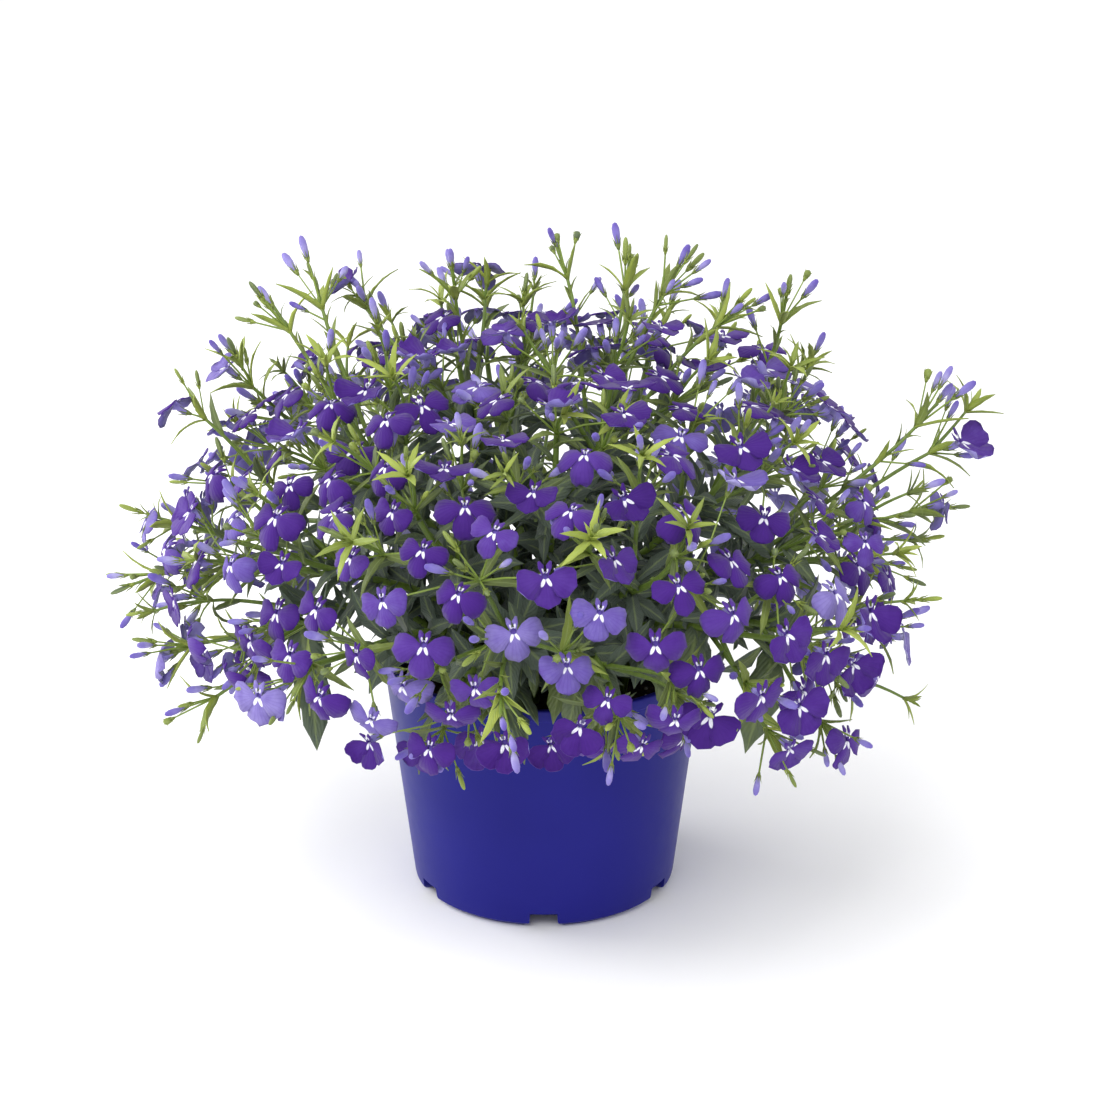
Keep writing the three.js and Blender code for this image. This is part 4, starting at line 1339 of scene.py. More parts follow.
def grow_lobe(piece, lobe, rows, form):
    """Extrude one lobe from its part of the throat's ring, row by row."""
    choose_ring(piece, *lobe["ring"])
    axis = math.radians(lobe["axis"] + form["turn"] * math.cos(math.radians(lobe["axis"])))
    ahead = Vector((math.cos(axis), math.sin(axis), 0))
    across = Vector((-ahead.y, ahead.x, 0))
    for share, width in rows:
        chosen = [vert.co for vert in bmesh.from_edit_mesh(piece.data).verts if vert.select]
        asides = sorted(co.dot(across) for co in chosen)
        middle = (asides[0] + asides[-1]) / 2
        step = (asides[-1] - asides[0]) / 4 if len(asides) > 2 else -1
        long = THROAT_RADIUS + lobe["long"] * share

        def put(co):
            # A new point lies on the side of the lobe that the point it grows from is on.
            off = co.dot(across) - middle
            u = 0 if abs(off) < step else math.copysign(1, off)
            reach = long - lobe["round"] * abs(u) * share**3
            height = lobe_height(lobe, form, u, share, ahead)
            aside = u * lobe["half"] * width * form["slim"]
            return (ahead * reach + across * aside + Vector((0, 0, height))) * MM

        extrude_row(piece, put)


print("rows of a lower lobe:", len(LOBE_ROWS))

# %% Flowers in seven forms
def narrow_throat(co):
    return Vector((co.x * THROAT_NARROWING, co.y * THROAT_NARROWING, -THROAT_DEPTH * MM))


def upper_form(form):
    """The two small upper lobes curl less than the lip, and all cup alike."""
    curl = UPPER_CURL["share"] * form["curl"] + UPPER_CURL["least"]
    return {**form, "curl": curl, "cup": UPPER_CURL["cup"]}


def make_flower(form):
    bpy.ops.mesh.primitive_circle_add(vertices=THROAT_SIDES, radius=THROAT_RADIUS * MM)
    piece = bpy.context.object
    edit_mesh(piece)
    bpy.ops.mesh.select_all(action="SELECT")
    extrude_row(piece, narrow_throat)
    for lobe in LOWER_LOBES:
        grow_lobe(piece, lobe, LOBE_ROWS, form)
    for lobe in UPPER_LOBES:
        grow_lobe(piece, lobe, FINGER_ROWS, upper_form(form))
    bpy.ops.mesh.select_all(action="SELECT")
    bpy.ops.mesh.normals_make_consistent(inside=False)
    leave_edit(piece)
    if sum(face.normal.z for face in piece.data.polygons) < 0:
        piece.data.flip_normals()
    # Solidify gives the back a slot of its own only where the mesh has two.
    for _ in range(2):
        piece.data.materials.append(None)
    add_thickness(piece, PETAL_THICKNESS * MM, -1, back_slot=1)
    map_flat(piece, FLOWER_SPAN * MM)
    return take_pattern(piece)


flowers = [make_flower(form) for form in FLOWER_FORMS]
print("flower forms:", len(flowers), "faces in each:", len(flowers[0].sizes))

# %% [markdown]
# ### Leaves
#
# A leaf starts as a grid. Its points are moved out to a lance-shaped outline with a few teeth, the
# halves are folded up along the midrib, and the blade is arched along its length.

# %% A leaf from a grid
LEAF_THICKNESS = 0.32
BLADE_SHARE = 0.86
# The outline is half a sine wave, drawn out by the form's belly. It starts a little after the
# wave's zero, so that the blade has a foot, and a power makes it fuller.
BLADE_START = 0.07
BLADE_REST = 0.93
BLADE_FULLNESS = 0.75
STALK_PART = 0.08
TOOTH_HOOK = 0.12
TOOTHLESS_FROM = 0.95
DROOP_POWER = 2.2
# The wave of the edges over a leaf's length, in radians: a little more than one whole wave.
WAVE_ANGLE = 7


def blade_half(kind, form, u, v, row):
    """Half the width of a blade at a share v of its length, with teeth on its outermost points."""
    place = min(1, v * BLADE_REST + BLADE_START) ** form["belly"]
    body = math.sin(math.pi * place) ** BLADE_FULLNESS if v < 1 else 0
    tooth = 1 + form["tooth"] * (1 if row % 2 else -1) * abs(u) ** 3
    least = form["stalk"] if v < STALK_PART else 0
    return BLADE_SHARE * kind.width / 2 * max(body * tooth, least)


def make_leaf(kind, rows, columns, form):
    bpy.ops.mesh.primitive_grid_add(x_subdivisions=columns, y_subdivisions=rows, size=2)
    piece = bpy.context.object
    mesh = edit_mesh(piece)
    for vert in mesh.verts:
        u, v = vert.co.x, (vert.co.y + 1) / 2
        row = round(v * rows)
        half = blade_half(kind, form, u, v, row)
        hook = form["tooth"] * TOOTH_HOOK * abs(u) * (row % 2) * (v < TOOTHLESS_FROM)
        bend = form["bend"] * kind.length * v * v
        height = kind.length * (4 * LEAF_ARCH * v * (1 - v) - form["droop"] * v**DROOP_POWER)
        height += form["fold"] * abs(u) * half + form["wave"] * u * math.sin(WAVE_ANGLE * v) * half
        vert.co = Vector((u * half + bend, kind.length * (v + hook), height)) * MM
    bpy.ops.mesh.select_all(action="SELECT")
    bpy.ops.mesh.remove_doubles(threshold=0.02 * MM)
    leave_edit(piece)
    add_thickness(piece, LEAF_THICKNESS * MM, 0)
    return take_pattern(piece)


print("blades %.1f and %.1f mm wide" % (BLADE_SHARE * NARROW_LEAF.width, BLADE_SHARE * BROAD_LEAF.width))

# %% Narrow leaves, broad leaves and leaves in the shade
# Each form: how full it is, how deep its teeth are, how broad its stalk is, how far it bends aside
# and droops, how much it is folded along the midrib and how wavy its edges are.
LEAF_KEYS = ("belly", "tooth", "stalk", "bend", "droop", "fold", "wave")
LEAF_FORMS = table(LEAF_KEYS, [
    (0.8, 0.09, 0.2, 0.0, 0.1, 0.35, 0.1), (0.75, 0.12, 0.2, 0.1, 0.22, 0.25, -0.2),
    (0.85, 0.07, 0.2, -0.12, 0.02, 0.4, 0.15), (0.8, 0.11, 0.18, -0.05, 0.32, 0.3, 0.3),
    (0.7, 0.08, 0.22, 0.16, -0.08, 0.45, 0.0),
])


def broad_form(form):
    """A broad leaf has larger teeth, a wavier edge and a shallower fold than a narrow one."""
    return {**form, "tooth": 0.12, "wave": 1.6 * form["wave"] + 0.2, "fold": 0.2}


def shade_form(form):
    return {**form, "tooth": 0.08, "wave": 0.3, "fold": 0.15}


narrow_leaves = [make_leaf(NARROW_LEAF, 7, 2, form) for form in LEAF_FORMS]
broad_leaves = [make_leaf(BROAD_LEAF, 9, 4, broad_form(form)) for form in LEAF_FORMS[:3]]
shade_leaves = [make_leaf(BROAD_LEAF, 6, 2, shade_form(form)) for form in LEAF_FORMS]
counts = [len(patterns[0].sizes) for patterns in (narrow_leaves, broad_leaves, shade_leaves)]
print("faces of a narrow leaf, a broad leaf and a leaf in the shade:", counts)

# %% [markdown]
# ### Calyx and bud
#
# The calyx is a small green cup with five needle-fine sepals round the foot of the flower. The cup
# is a cone, and each sepal a three-sided spike, extruded twice and merged to a point. A bud is the
# same cup under a closed drop of petals, which starts as a ball and is drawn out to a drop.

# %% Calyx
SEPAL_COUNT = 5
SEPAL_LENGTH = 4.4
SEPAL_FOOT = 1.6
SEPAL_RADIUS = 0.36
SEPAL_SPREAD = 1.3
SEPAL_MIDDLE = {"out": 0.35, "up": 0.5, "size": 0.8}
SEPAL_TIP_SIZE = 0.02
SEPAL_RING = 0.95
CUP = {"sides": 7, "foot": 0.55, "mouth": 1.25, "depth": 2.2}


def make_sepal(turn):
    bpy.ops.mesh.primitive_circle_add(
        vertices=3, radius=SEPAL_RADIUS * MM, fill_type="NGON", location=(0, 0, SEPAL_FOOT * MM)
    )
    piece = bpy.context.object
    bpy.ops.object.transform_apply(location=True)
    edit_mesh(piece)
    bpy.ops.mesh.select_all(action="SELECT")
    start = Vector((0, 0, SEPAL_FOOT * MM))
    shift = Vector((SEPAL_MIDDLE["out"], 0, SEPAL_LENGTH * SEPAL_MIDDLE["up"])) * MM
    end = start + Vector((SEPAL_SPREAD, 0, SEPAL_LENGTH)) * MM
    extrude_row(piece, lambda co: start + (co - start) * SEPAL_MIDDLE["size"] + shift)
    extrude_row(piece, lambda co: end + (co - start - shift) * SEPAL_TIP_SIZE)
    bpy.ops.mesh.select_all(action="SELECT")
    bpy.ops.mesh.remove_doubles(threshold=0.03 * MM)
    bpy.ops.mesh.normals_make_consistent(inside=False)
    leave_edit(piece)
    out = Matrix.Translation((SEPAL_RING * MM, 0, 0))
    piece.data.transform(Matrix.Rotation(turn, 4, "Z") @ out)
    return piece


def make_calyx():
    bpy.ops.mesh.primitive_cone_add(
        vertices=CUP["sides"], radius1=CUP["foot"] * MM, radius2=CUP["mouth"] * MM,
        depth=CUP["depth"] * MM, location=(0, 0, CUP["depth"] / 2 * MM),
    )
    cup = bpy.context.object
    bpy.ops.object.transform_apply(location=True)
    for i in range(SEPAL_COUNT):
        sepal = make_sepal(i * 2 * math.pi / SEPAL_COUNT)
        bpy.ops.object.select_all(action="DESELECT")
        sepal.select_set(True)
        cup.select_set(True)
        bpy.context.view_layer.objects.active = cup
        bpy.ops.object.join()
    return take_pattern(cup)


calyx = make_calyx()
print("calyx faces:", len(calyx.sizes))

# %% Buds: a closed flower bud, a small round green one and a tall green one
BUD_SIDES = 8
BUD_RINGS = 6
BUD_FOOT = 1.2
BUD_SWELL = 0.7


def make_bud(length, radius, neck):
    """A ball drawn out to a drop: its foot is as thin as its neck, a share of its radius."""
    bpy.ops.mesh.primitive_uv_sphere_add(segments=BUD_SIDES, ring_count=BUD_RINGS, radius=1)
    piece = bpy.context.object
    mesh = edit_mesh(piece)
    for vert in mesh.verts:
        height = (vert.co.z + 1) / 2
        wide = radius * (neck + (1 - neck) * height**BUD_SWELL)
        vert.co = Vector((vert.co.x * wide, vert.co.y * wide, BUD_FOOT + height * length)) * MM
    leave_edit(piece)
    return take_pattern(piece)


flower_bud = make_bud(length=8.6, radius=1.7, neck=0.35)
green_bud = make_bud(length=3.4, radius=1.5, neck=0.75)
spindle_bud = make_bud(length=8.0, radius=1.1, neck=0.6)
print("bud faces:", len(flower_bud.sizes))

# %% [markdown]
# ## Finishes
#
# Petals are matt and velvety, leaves satin, and the pot is moulded plastic. Every copy carries a
# number called tint, so that one material can colour young and old leaves, with painted shade on
# those deep in the plant, and deep and pale flowers. A ramp turns the tint into a colour, and a
# noise pattern shifts it a little to both sides, so that no blade is one flat colour.

# %% Colour by tint
MATH = "ShaderNodeMath"


def colour_by_tint(tree, pattern, strength, stops):
    """A colour ramp along each copy's tint, which a pattern shifts a little to both sides."""
    tint = add_node(tree, "ShaderNodeAttribute", {"attribute_name": "tint"})
    shifted = add_node(tree, MATH, {"operation": "MULTIPLY_ADD"}, {1: strength},
                       {0: (pattern, "Fac"), 2: (tint, "Fac")})
    centred = add_node(tree, MATH, {"operation": "SUBTRACT"}, {1: strength / 2}, {0: (shifted, 0)})
    ramp = add_node(tree, "ShaderNodeValToRGB", links={"Fac": (centred, 0)})
    set_stops(ramp, stops)
    return ramp


print("a soft violet, linear:", [round(part, 3) for part in srgb("6554A2")])

# %% [markdown]
# ### Petals
#
# The cells of a petal are domed like a pebbled skin, and scatter the light: it is rough, with a
# little sheen, and never glossy. Two white fangs splay outwards on the lower lip, the upper lobes
# have whitish roots, and fine veins fan out from the throat. All of them are worked out from a
# place on the petal's own map, in millimetres, and so lie right on every copy. A real petal's
# grain is far below a millimetre. The mottle of some 4 mm is the softer change within a lobe.

# %% Marks on a petal
# Each pair of marks: where it lies, how much it splays, and half its width and length, in mm.
FANG = {"at": (0.8, -1.7), "splay": 0.42, "half": (0.54, 1.25)}
UPPER_ROOT = {"at": (0.55, 1.35), "splay": -0.3, "half": (0.34, 0.7)}
RAGGEDNESS = 1.6
MARK_EDGE = {"From Min": 2.1, "From Max": 1.5}


def paired_spot(tree, parts, mottle, spot):
    """How far a place is inside either of two mirrored ovals with ragged edges."""
    (across, up), (wide, long) = spot["at"], spot["half"]
    aside = add_node(tree, MATH, {"operation": "ABSOLUTE"}, links={0: (parts, "X")})
    splayed = add_node(tree, MATH, {"operation": "MULTIPLY_ADD"}, {1: spot["splay"]},
                       {0: (parts, "Y"), 2: (aside, 0)})
    middle = across + spot["splay"] * up
    off = add_node(tree, MATH, {"operation": "SUBTRACT"}, {1: middle}, {0: (splayed, 0)})
    off = add_node(tree, MATH, {"operation": "DIVIDE"}, {1: wide}, {0: (off, 0)})
    above = add_node(tree, MATH, {"operation": "SUBTRACT"}, {1: up}, {0: (parts, "Y")})
    above = add_node(tree, MATH, {"operation": "DIVIDE"}, {1: long}, {0: (above, 0)})
    above = add_node(tree, MATH, {"operation": "MULTIPLY"}, links={0: (above, 0), 1: (above, 0)})
    miss = add_node(tree, MATH, {"operation": "MULTIPLY_ADD"},
                    links={0: (off, 0), 1: (off, 0), 2: (above, 0)})
    ragged = add_node(tree, MATH, {"operation": "MULTIPLY_ADD"}, {1: RAGGEDNESS},
                      {0: (mottle, "Fac"), 2: (miss, 0)})
    return add_node(tree, "ShaderNodeMapRange", values=MARK_EDGE, links={"Value": (ragged, 0)})


print("fangs: %.1f mm long and %.1f mm wide" % (2 * FANG["half"][1], 2 * FANG["half"][0]))

# %% The face of a petal
DEEP_PETAL = [(0.0, "37126C"), (0.35, "421A7C"), (0.6, "52328E"), (0.8, "6554A2"), (1.0, "8478BA")]
VEIN_COLOUR = "2E0F68"
THROAT_COLOUR = "6A58AE"
MARK_WHITE = "ECECF8"
PETAL_MOTTLE = 3.846
MOTTLE_STRENGTH = 0.3
VEINS_ROUND = 34
ROOT_STRENGTH = 0.75


def petal_material():
    """Velvet: rough, with a little sheen, faint dark veins and a white eye."""
    material, tree, shader = new_material(
        "velvety lobelia petal", {"Roughness": 0.7, "Sheen Weight": 0.1, "Specular IOR Level": 0.2}
    )
    place = add_node(tree, "ShaderNodeUVMap", {"uv_map": "flat"})
    flat = add_node(
        tree, "ShaderNodeVectorMath", {"operation": "MULTIPLY_ADD"},
        {1: (FLOWER_SPAN,) * 3, 2: (-FLOWER_SPAN / 2, -FLOWER_SPAN / 2, 0)}, {0: (place, "UV")},
    )
    parts = add_node(tree, "ShaderNodeSeparateXYZ", links={0: (flat, 0)})
    body = add_node(tree, "ShaderNodeTexCoord")
    mottle = add_node(tree, "ShaderNodeTexNoise", values={"Scale": 1 / (PETAL_MOTTLE * MM), "Detail": 3.0},
                      links={"Vector": (body, "Object")})
    colour = colour_by_tint(tree, mottle, MOTTLE_STRENGTH, DEEP_PETAL)
    # Fine veins fan out from the throat.
    angle = add_node(tree, MATH, {"operation": "ARCTAN2"}, links={0: (parts, "Y"), 1: (parts, "X")})
    angle = add_node(tree, MATH, {"operation": "MULTIPLY"}, {1: VEINS_ROUND}, {0: (angle, 0)})
    wave = add_node(tree, MATH, {"operation": "SINE"}, links={0: (angle, 0)})
    vein = add_node(tree, "ShaderNodeMapRange", values={"From Min": 0.4, "From Max": 1.0, "To Max": 0.12},
                    links={"Value": (wave, 0)})
    veined = add_node(tree, "ShaderNodeMix", {"data_type": "RGBA"}, {7: srgb(VEIN_COLOUR)},
                      {0: (vein, "Result"), 6: (colour, "Color")})
    # The throat is paler inside.
    far = add_node(tree, "ShaderNodeVectorMath", {"operation": "LENGTH"}, links={0: (flat, 0)})
    inside = add_node(tree, "ShaderNodeMapRange", values={"From Min": 1.0, "From Max": 0.7, "To Max": 0.8},
                      links={"Value": (far, "Value")})
    throated = add_node(tree, "ShaderNodeMix", {"data_type": "RGBA"}, {7: srgb(THROAT_COLOUR)},
                        {0: (inside, "Result"), 6: (veined, 2)})
    # The white marks lie over all of that.
    fangs = paired_spot(tree, parts, mottle, FANG)
    roots = paired_spot(tree, parts, mottle, UPPER_ROOT)
    faint = add_node(tree, MATH, {"operation": "MULTIPLY"}, {1: ROOT_STRENGTH}, {0: (roots, "Result")})
    eye = add_node(tree, MATH, {"operation": "MAXIMUM"}, links={0: (fangs, "Result"), 1: (faint, 0)})
    marked = add_node(tree, "ShaderNodeMix", {"data_type": "RGBA"}, {7: srgb(MARK_WHITE)},
                      {0: (eye, 0), 6: (throated, 2)})
    relief = add_node(tree, "ShaderNodeBump", values={"Strength": 0.15, "Distance": 0.2 * MM},
                      links={"Height": (wave, 0)})
    dress(tree, shader, (marked, 2), relief)
    return material


petal_face = petal_material()
print("finish:", petal_face.name, "nodes:", len(petal_face.node_tree.nodes))

# %% The back of a petal, its tube and the closed buds
# Lilac, painted lighter for the light that shines through thin petals, tubes and buds.
PALE_PETAL_AND_PAINTED_GLOW = [(0.0, "6353A8"), (0.5, "877DC2"), (1.0, "B2ADD8")]
PETAL_STREAK = 2.381
STREAK_STRENGTH = 0.5


def petal_back_material():
    """The back of a petal has thinner colour, which reads as lilac with darker streaks, and it is painted
    lighter still for the light that shines through a thin petal. The streaks of a real one are
    hair-fine, and are drawn at 2.4 mm to show."""
    material, tree, shader = new_material(
        "lilac petal back", {"Roughness": 0.65, "Sheen Weight": 0.1, "Specular IOR Level": 0.25}
    )
    body = add_node(tree, "ShaderNodeTexCoord")
    streaks = add_node(tree, "ShaderNodeTexNoise", values={"Scale": 1 / (PETAL_STREAK * MM), "Detail": 2.0},
                       links={"Vector": (body, "Object")})
    colour = colour_by_tint(tree, streaks, STREAK_STRENGTH, PALE_PETAL_AND_PAINTED_GLOW)
    relief = add_node(tree, "ShaderNodeBump", values={"Strength": 0.3, "Distance": 0.2 * MM},
                      links={"Height": (streaks, "Fac")})
    dress(tree, shader, (colour, "Color"), relief)
    return material


petal_finishes = [petal_face, petal_back_material()]
print("finish:", petal_finishes[1].name)

# %% [markdown]
# ### Leaves and stems
#
# A lobelia leaf is thin and satin. Its midrib is paler than the blade, and its side veins are
# pressed into the upper face at a slant, which shows as relief in raking light. A stem is smoother
# and a little glossier, with faint streaks along it. Both go from a dark bluish green, when old and
# shaded, to a light yellow-green, when young and sunlit.

# %% Leaves
# The dark end is partly old leaves and partly painted shade, as tints fall deeper in the plant.
LEAF_AGE_AND_PAINTED_SHADE = [(0.0, "455048"), (0.2, "546152"), (0.5, "6B7A40"), (0.78, "8C9C40"), (1.0, "AAB854")]
RIB_COLOUR = "98A868"
LEAF_MOTTLE = 4.545
# Eleven side veins over a leaf's length, as the angle of one wave in radians.
SIDE_VEIN_ANGLE = 70
SIDE_VEIN_SLANT = 0.5


def leaf_material():
    material, tree, shader = new_material(
        "satin lobelia leaf", {"Roughness": 0.5, "Specular IOR Level": 0.4}
    )
    body = add_node(tree, "ShaderNodeTexCoord")
    place = add_node(tree, "ShaderNodeUVMap", {"uv_map": "flat"})
    parts = add_node(tree, "ShaderNodeSeparateXYZ", links={0: (place, "UV")})
    mottle = add_node(tree, "ShaderNodeTexNoise", values={"Scale": 1 / (LEAF_MOTTLE * MM), "Detail": 4.0},
                      links={"Vector": (body, "Object")})
    colour = colour_by_tint(tree, mottle, MOTTLE_STRENGTH, LEAF_AGE_AND_PAINTED_SHADE)
    off = add_node(tree, MATH, {"operation": "SUBTRACT"}, {1: 0.5}, {0: (parts, "X")})
    aside = add_node(tree, MATH, {"operation": "ABSOLUTE"}, links={0: (off, 0)})
    rib = add_node(tree, "ShaderNodeMapRange", values={"From Min": 0.1, "From Max": 0.02, "To Max": 0.4},
                   links={"Value": (aside, 0)})
    ribbed = add_node(tree, "ShaderNodeMix", {"data_type": "RGBA"}, {7: srgb(RIB_COLOUR)},
                      {0: (rib, "Result"), 6: (colour, "Color")})
    slant = add_node(tree, MATH, {"operation": "MULTIPLY"}, {1: SIDE_VEIN_SLANT}, {0: (aside, 0)})
    slope = add_node(tree, MATH, {"operation": "SUBTRACT"}, links={0: (parts, "Y"), 1: (slant, 0)})
    turns = add_node(tree, MATH, {"operation": "MULTIPLY"}, {1: SIDE_VEIN_ANGLE}, {0: (slope, 0)})
    veins = add_node(tree, MATH, {"operation": "SINE"}, links={0: (turns, 0)})
    relief = add_node(tree, "ShaderNodeBump", values={"Strength": 0.3, "Distance": 0.3 * MM},
                      links={"Height": (veins, 0)})
    dress(tree, shader, (ribbed, 2), relief)
    return material


leaf_finish = leaf_material()
print("finish:", leaf_finish.name, "nodes:", len(leaf_finish.node_tree.nodes))

# %% Stems
STEM_AGES = [(0.0, "3A4C20"), (0.5, "687F30"), (1.0, "97AC4A")]
STEM_STREAK = {"width": 1.111, "length": 8.333}
STEM_STREAK_STRENGTH = 0.4


def stem_material():
    material, tree, shader = new_material(
        "fresh lobelia stem", {"Roughness": 0.42, "Specular IOR Level": 0.45}
    )
    body = add_node(tree, "ShaderNodeTexCoord")
    fine, coarse = 1 / (STEM_STREAK["width"] * MM), 1 / (STEM_STREAK["length"] * MM)
    drawn_out = add_node(tree, "ShaderNodeMapping", values={"Scale": (fine, fine, coarse)},
                         links={"Vector": (body, "Object")})
    streaks = add_node(tree, "ShaderNodeTexNoise", values={"Scale": 1.0, "Detail": 2.0},
                       links={"Vector": (drawn_out, "Vector")})
    colour = colour_by_tint(tree, streaks, STEM_STREAK_STRENGTH, STEM_AGES)
    relief = add_node(tree, "ShaderNodeBump", values={"Strength": 0.25, "Distance": 0.2 * MM},
                      links={"Height": (streaks, "Fac")})
    dress(tree, shader, (colour, "Color"), relief)
    return material


foliage_finishes = [leaf_finish, stem_material()]
print("finish:", foliage_finishes[1].name)

# %% [markdown]
# ## The pot
#
# A grower's pot is injection moulded in one shot: a conical wall, a rim band that stiffens the lip,
# a foot ring cut by six drainage notches, and a floor raised inside it with six holes. It is
# drawn the way a lathe would cut it: one ring is extruded along the profile, up the outside and
# down the inside, with the rounded edges as short arcs. Notches and holes are then cut with
# Booleans, because they are cut through the wall in the mould too.

# %% Sizes of the pot, read from its solid and from the wall's own numbers
POT_WALL = 1.4
POT_SIDES = 144
# The slope under the rim band runs between two heights from the band's foot.
RIM_BAND = {"height": 5, "depth": 0.9, "slope": (-0.1, 0.9)}
WALL_RADIUS_AT_FOOT = 49
FOOT_RADIUS = 46.5
FLOOR_HEIGHT = 5.6
# Radii of the rounded edges.
EDGE = {
    "floor": 0.6, "foot_in": 0.4, "foot_out": 0.9, "band": 0.5, "band_out": 0.4, "lip": 0.6,
    "inside": 1,
}
RING_SPACING = {"outside": 6, "inside": 8}
# Points between the foot's edge and the wall: the height whose wall radius each takes, how far
# inside that it stands, and its own height.
HEEL = [(0, 0.8, 1.3), (2.4, 0.15, 2.1), (3.2, 0, 3.2)]
NOTCH = {"count": 6, "width": 10.2, "flare": 3.4, "height": 6.2, "corner": 0.5}
DRAIN = {"count": 6, "radius": 3.6, "ring": 34, "sides": 24, "depth": 8}
RIM_RADIUS = 60
POT_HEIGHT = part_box("pot")[1].z / MM


def wall_radius(height):
    return WALL_RADIUS_AT_FOOT + (RIM_RADIUS - WALL_RADIUS_AT_FOOT) * height / POT_HEIGHT


def arc(radius, height, size, first, last, steps):
    """Points (radius, height) on an arc round a centre, between two angles in degrees."""
    turns = [math.radians(first + (last - first) * i / steps) for i in range(steps + 1)]
    return [(radius + size * math.cos(t), height + size * math.sin(t)) for t in turns]


def extrude_rings(piece, profile_points):
    """Extrude the selected ring through each (radius, height) in mm, about the Z axis."""
    for radius, height in profile_points:
        extrude_row(piece, lambda co: Vector((co.x, co.y, 0)).normalized() * (radius * MM)
                    + Vector((0, 0, height * MM)))


def close_end(piece, height):
    """Draw the open ring in to the axis, and merge it there."""
    extrude_row(piece, lambda co: Vector((0, 0, height * MM)))
    bpy.ops.mesh.select_all(action="SELECT")
    bpy.ops.mesh.remove_doubles(threshold=0.001 * MM)


def pot_profile():
    inner_foot = FOOT_RADIUS - POT_WALL
    band_foot = POT_HEIGHT - RIM_BAND["height"]
    rim = wall_radius(POT_HEIGHT) + RIM_BAND["depth"]
    lip = wall_radius(POT_HEIGHT) - POT_WALL
    step = wall_radius(band_foot)
    slope, corner = RIM_BAND["slope"], EDGE["inside"]
    # Under the floor and round the foot, up the outside, over the rim, and down the inside.
    return [
        *arc(inner_foot - EDGE["floor"], FLOOR_HEIGHT - EDGE["floor"], EDGE["floor"], 90, 0, 3),
        *arc(inner_foot + EDGE["foot_in"], EDGE["foot_in"], EDGE["foot_in"], 180, 270, 3),
        *arc(FOOT_RADIUS - EDGE["foot_in"], EDGE["foot_out"], EDGE["foot_out"], -90, -20, 4),
        *((wall_radius(foot) - inwards, height) for foot, inwards, height in HEEL),
        *((wall_radius(h), h) for h in range(8, int(band_foot) - 1, RING_SPACING["outside"])),
        *arc(step + EDGE["band"], band_foot + slope[0], EDGE["band"], 180, 120, 2),
        *arc(step + RIM_BAND["depth"] - EDGE["band_out"], band_foot + slope[1], EDGE["band_out"], -60, 0, 2),
        *arc(rim - EDGE["lip"], POT_HEIGHT - EDGE["lip"], EDGE["lip"], 0, 90, 4),
        *arc(lip + EDGE["band"], POT_HEIGHT - EDGE["band"], EDGE["band"], 90, 180, 3),
        *((wall_radius(h) - POT_WALL, h) for h in range(int(POT_HEIGHT) - 6, 9, -RING_SPACING["inside"])),
        *arc(wall_radius(8) - POT_WALL - corner, FLOOR_HEIGHT + POT_WALL + corner, corner, 0, -90, 3),
    ]


print("wall radius: %.1f mm at the foot, %.1f mm at the rim" % (wall_radius(0), wall_radius(POT_HEIGHT)))

# %% Turn the pot's body
def turn_body(name, start, profile_points, end_height, sides):
    """A closed body of rings about the Z axis, from a filled start ring to a closed end."""
    bpy.ops.mesh.primitive_circle_add(
        vertices=sides, radius=start[0] * MM, fill_type="TRIFAN", location=(0, 0, start[1] * MM)
    )
    piece = bpy.context.object
    piece.name = name
    bpy.ops.object.transform_apply(location=True)
    edit_mesh(piece)
    edge_of_disc = start[0] * MM * 0.999
    choose(piece, lambda co: math.hypot(co.x, co.y) > edge_of_disc)
    extrude_rings(piece, profile_points)
    close_end(piece, end_height)
    bpy.ops.mesh.normals_make_consistent(inside=False)
    leave_edit(piece)
    return piece


floor_start = (FOOT_RADIUS - POT_WALL - 1, FLOOR_HEIGHT)
pot = turn_body("pot_body", floor_start, pot_profile(), FLOOR_HEIGHT + POT_WALL, POT_SIDES)
print("pot rings:", len(pot_profile()), "faces:", len(pot.data.polygons))

# %% [markdown]
# ### Notches and holes
#
# A pot that stands on a flat bench must still drain, so water from the six holes in the floor runs
# out through six notches in the foot ring. Their sides flare out to the ground, where the mould's
# steel needs a radius.

# %% Bodies of the notches and of the drain holes
CUT_SLACK = 1
CUT_FROM = FOOT_RADIUS - 2.2
CUT_THROUGH = 9


def notch_outline():
    """Across and up: straight sides that flare out to the ground, and small round top corners."""
    half, flare, top = NOTCH["width"] / 2, NOTCH["flare"], NOTCH["height"]
    corner = NOTCH["corner"]
    right = [(half + flare, -CUT_SLACK), *arc(half + flare, flare, flare, 270, 180, 5)]
    right += arc(half - corner, top - corner, corner, 0, 90, 3)
    return right + [(-x, z) for x, z in reversed(right)]


def add_notch_cutter(turn):
    """A filled ring, put on the outline of the notch and extruded out through the foot."""
    outline = notch_outline()
    bpy.ops.mesh.primitive_circle_add(vertices=len(outline), radius=MM, fill_type="NGON")
    cutter = bpy.context.object
    mesh = edit_mesh(cutter)
    mesh.verts.ensure_lookup_table()
    for vert, (x, z) in zip(mesh.verts, outline):
        vert.co = Vector((CUT_FROM, x, z)) * MM
    bpy.ops.mesh.select_all(action="SELECT")
    bpy.ops.mesh.extrude_region_move(TRANSFORM_OT_translate={"value": (CUT_THROUGH * MM, 0, 0)})
    bpy.ops.mesh.select_all(action="SELECT")
    bpy.ops.mesh.normals_make_consistent(inside=False)
    leave_edit(cutter)
    cutter.data.transform(Matrix.Rotation(turn, 4, "Z"))
    return cutter


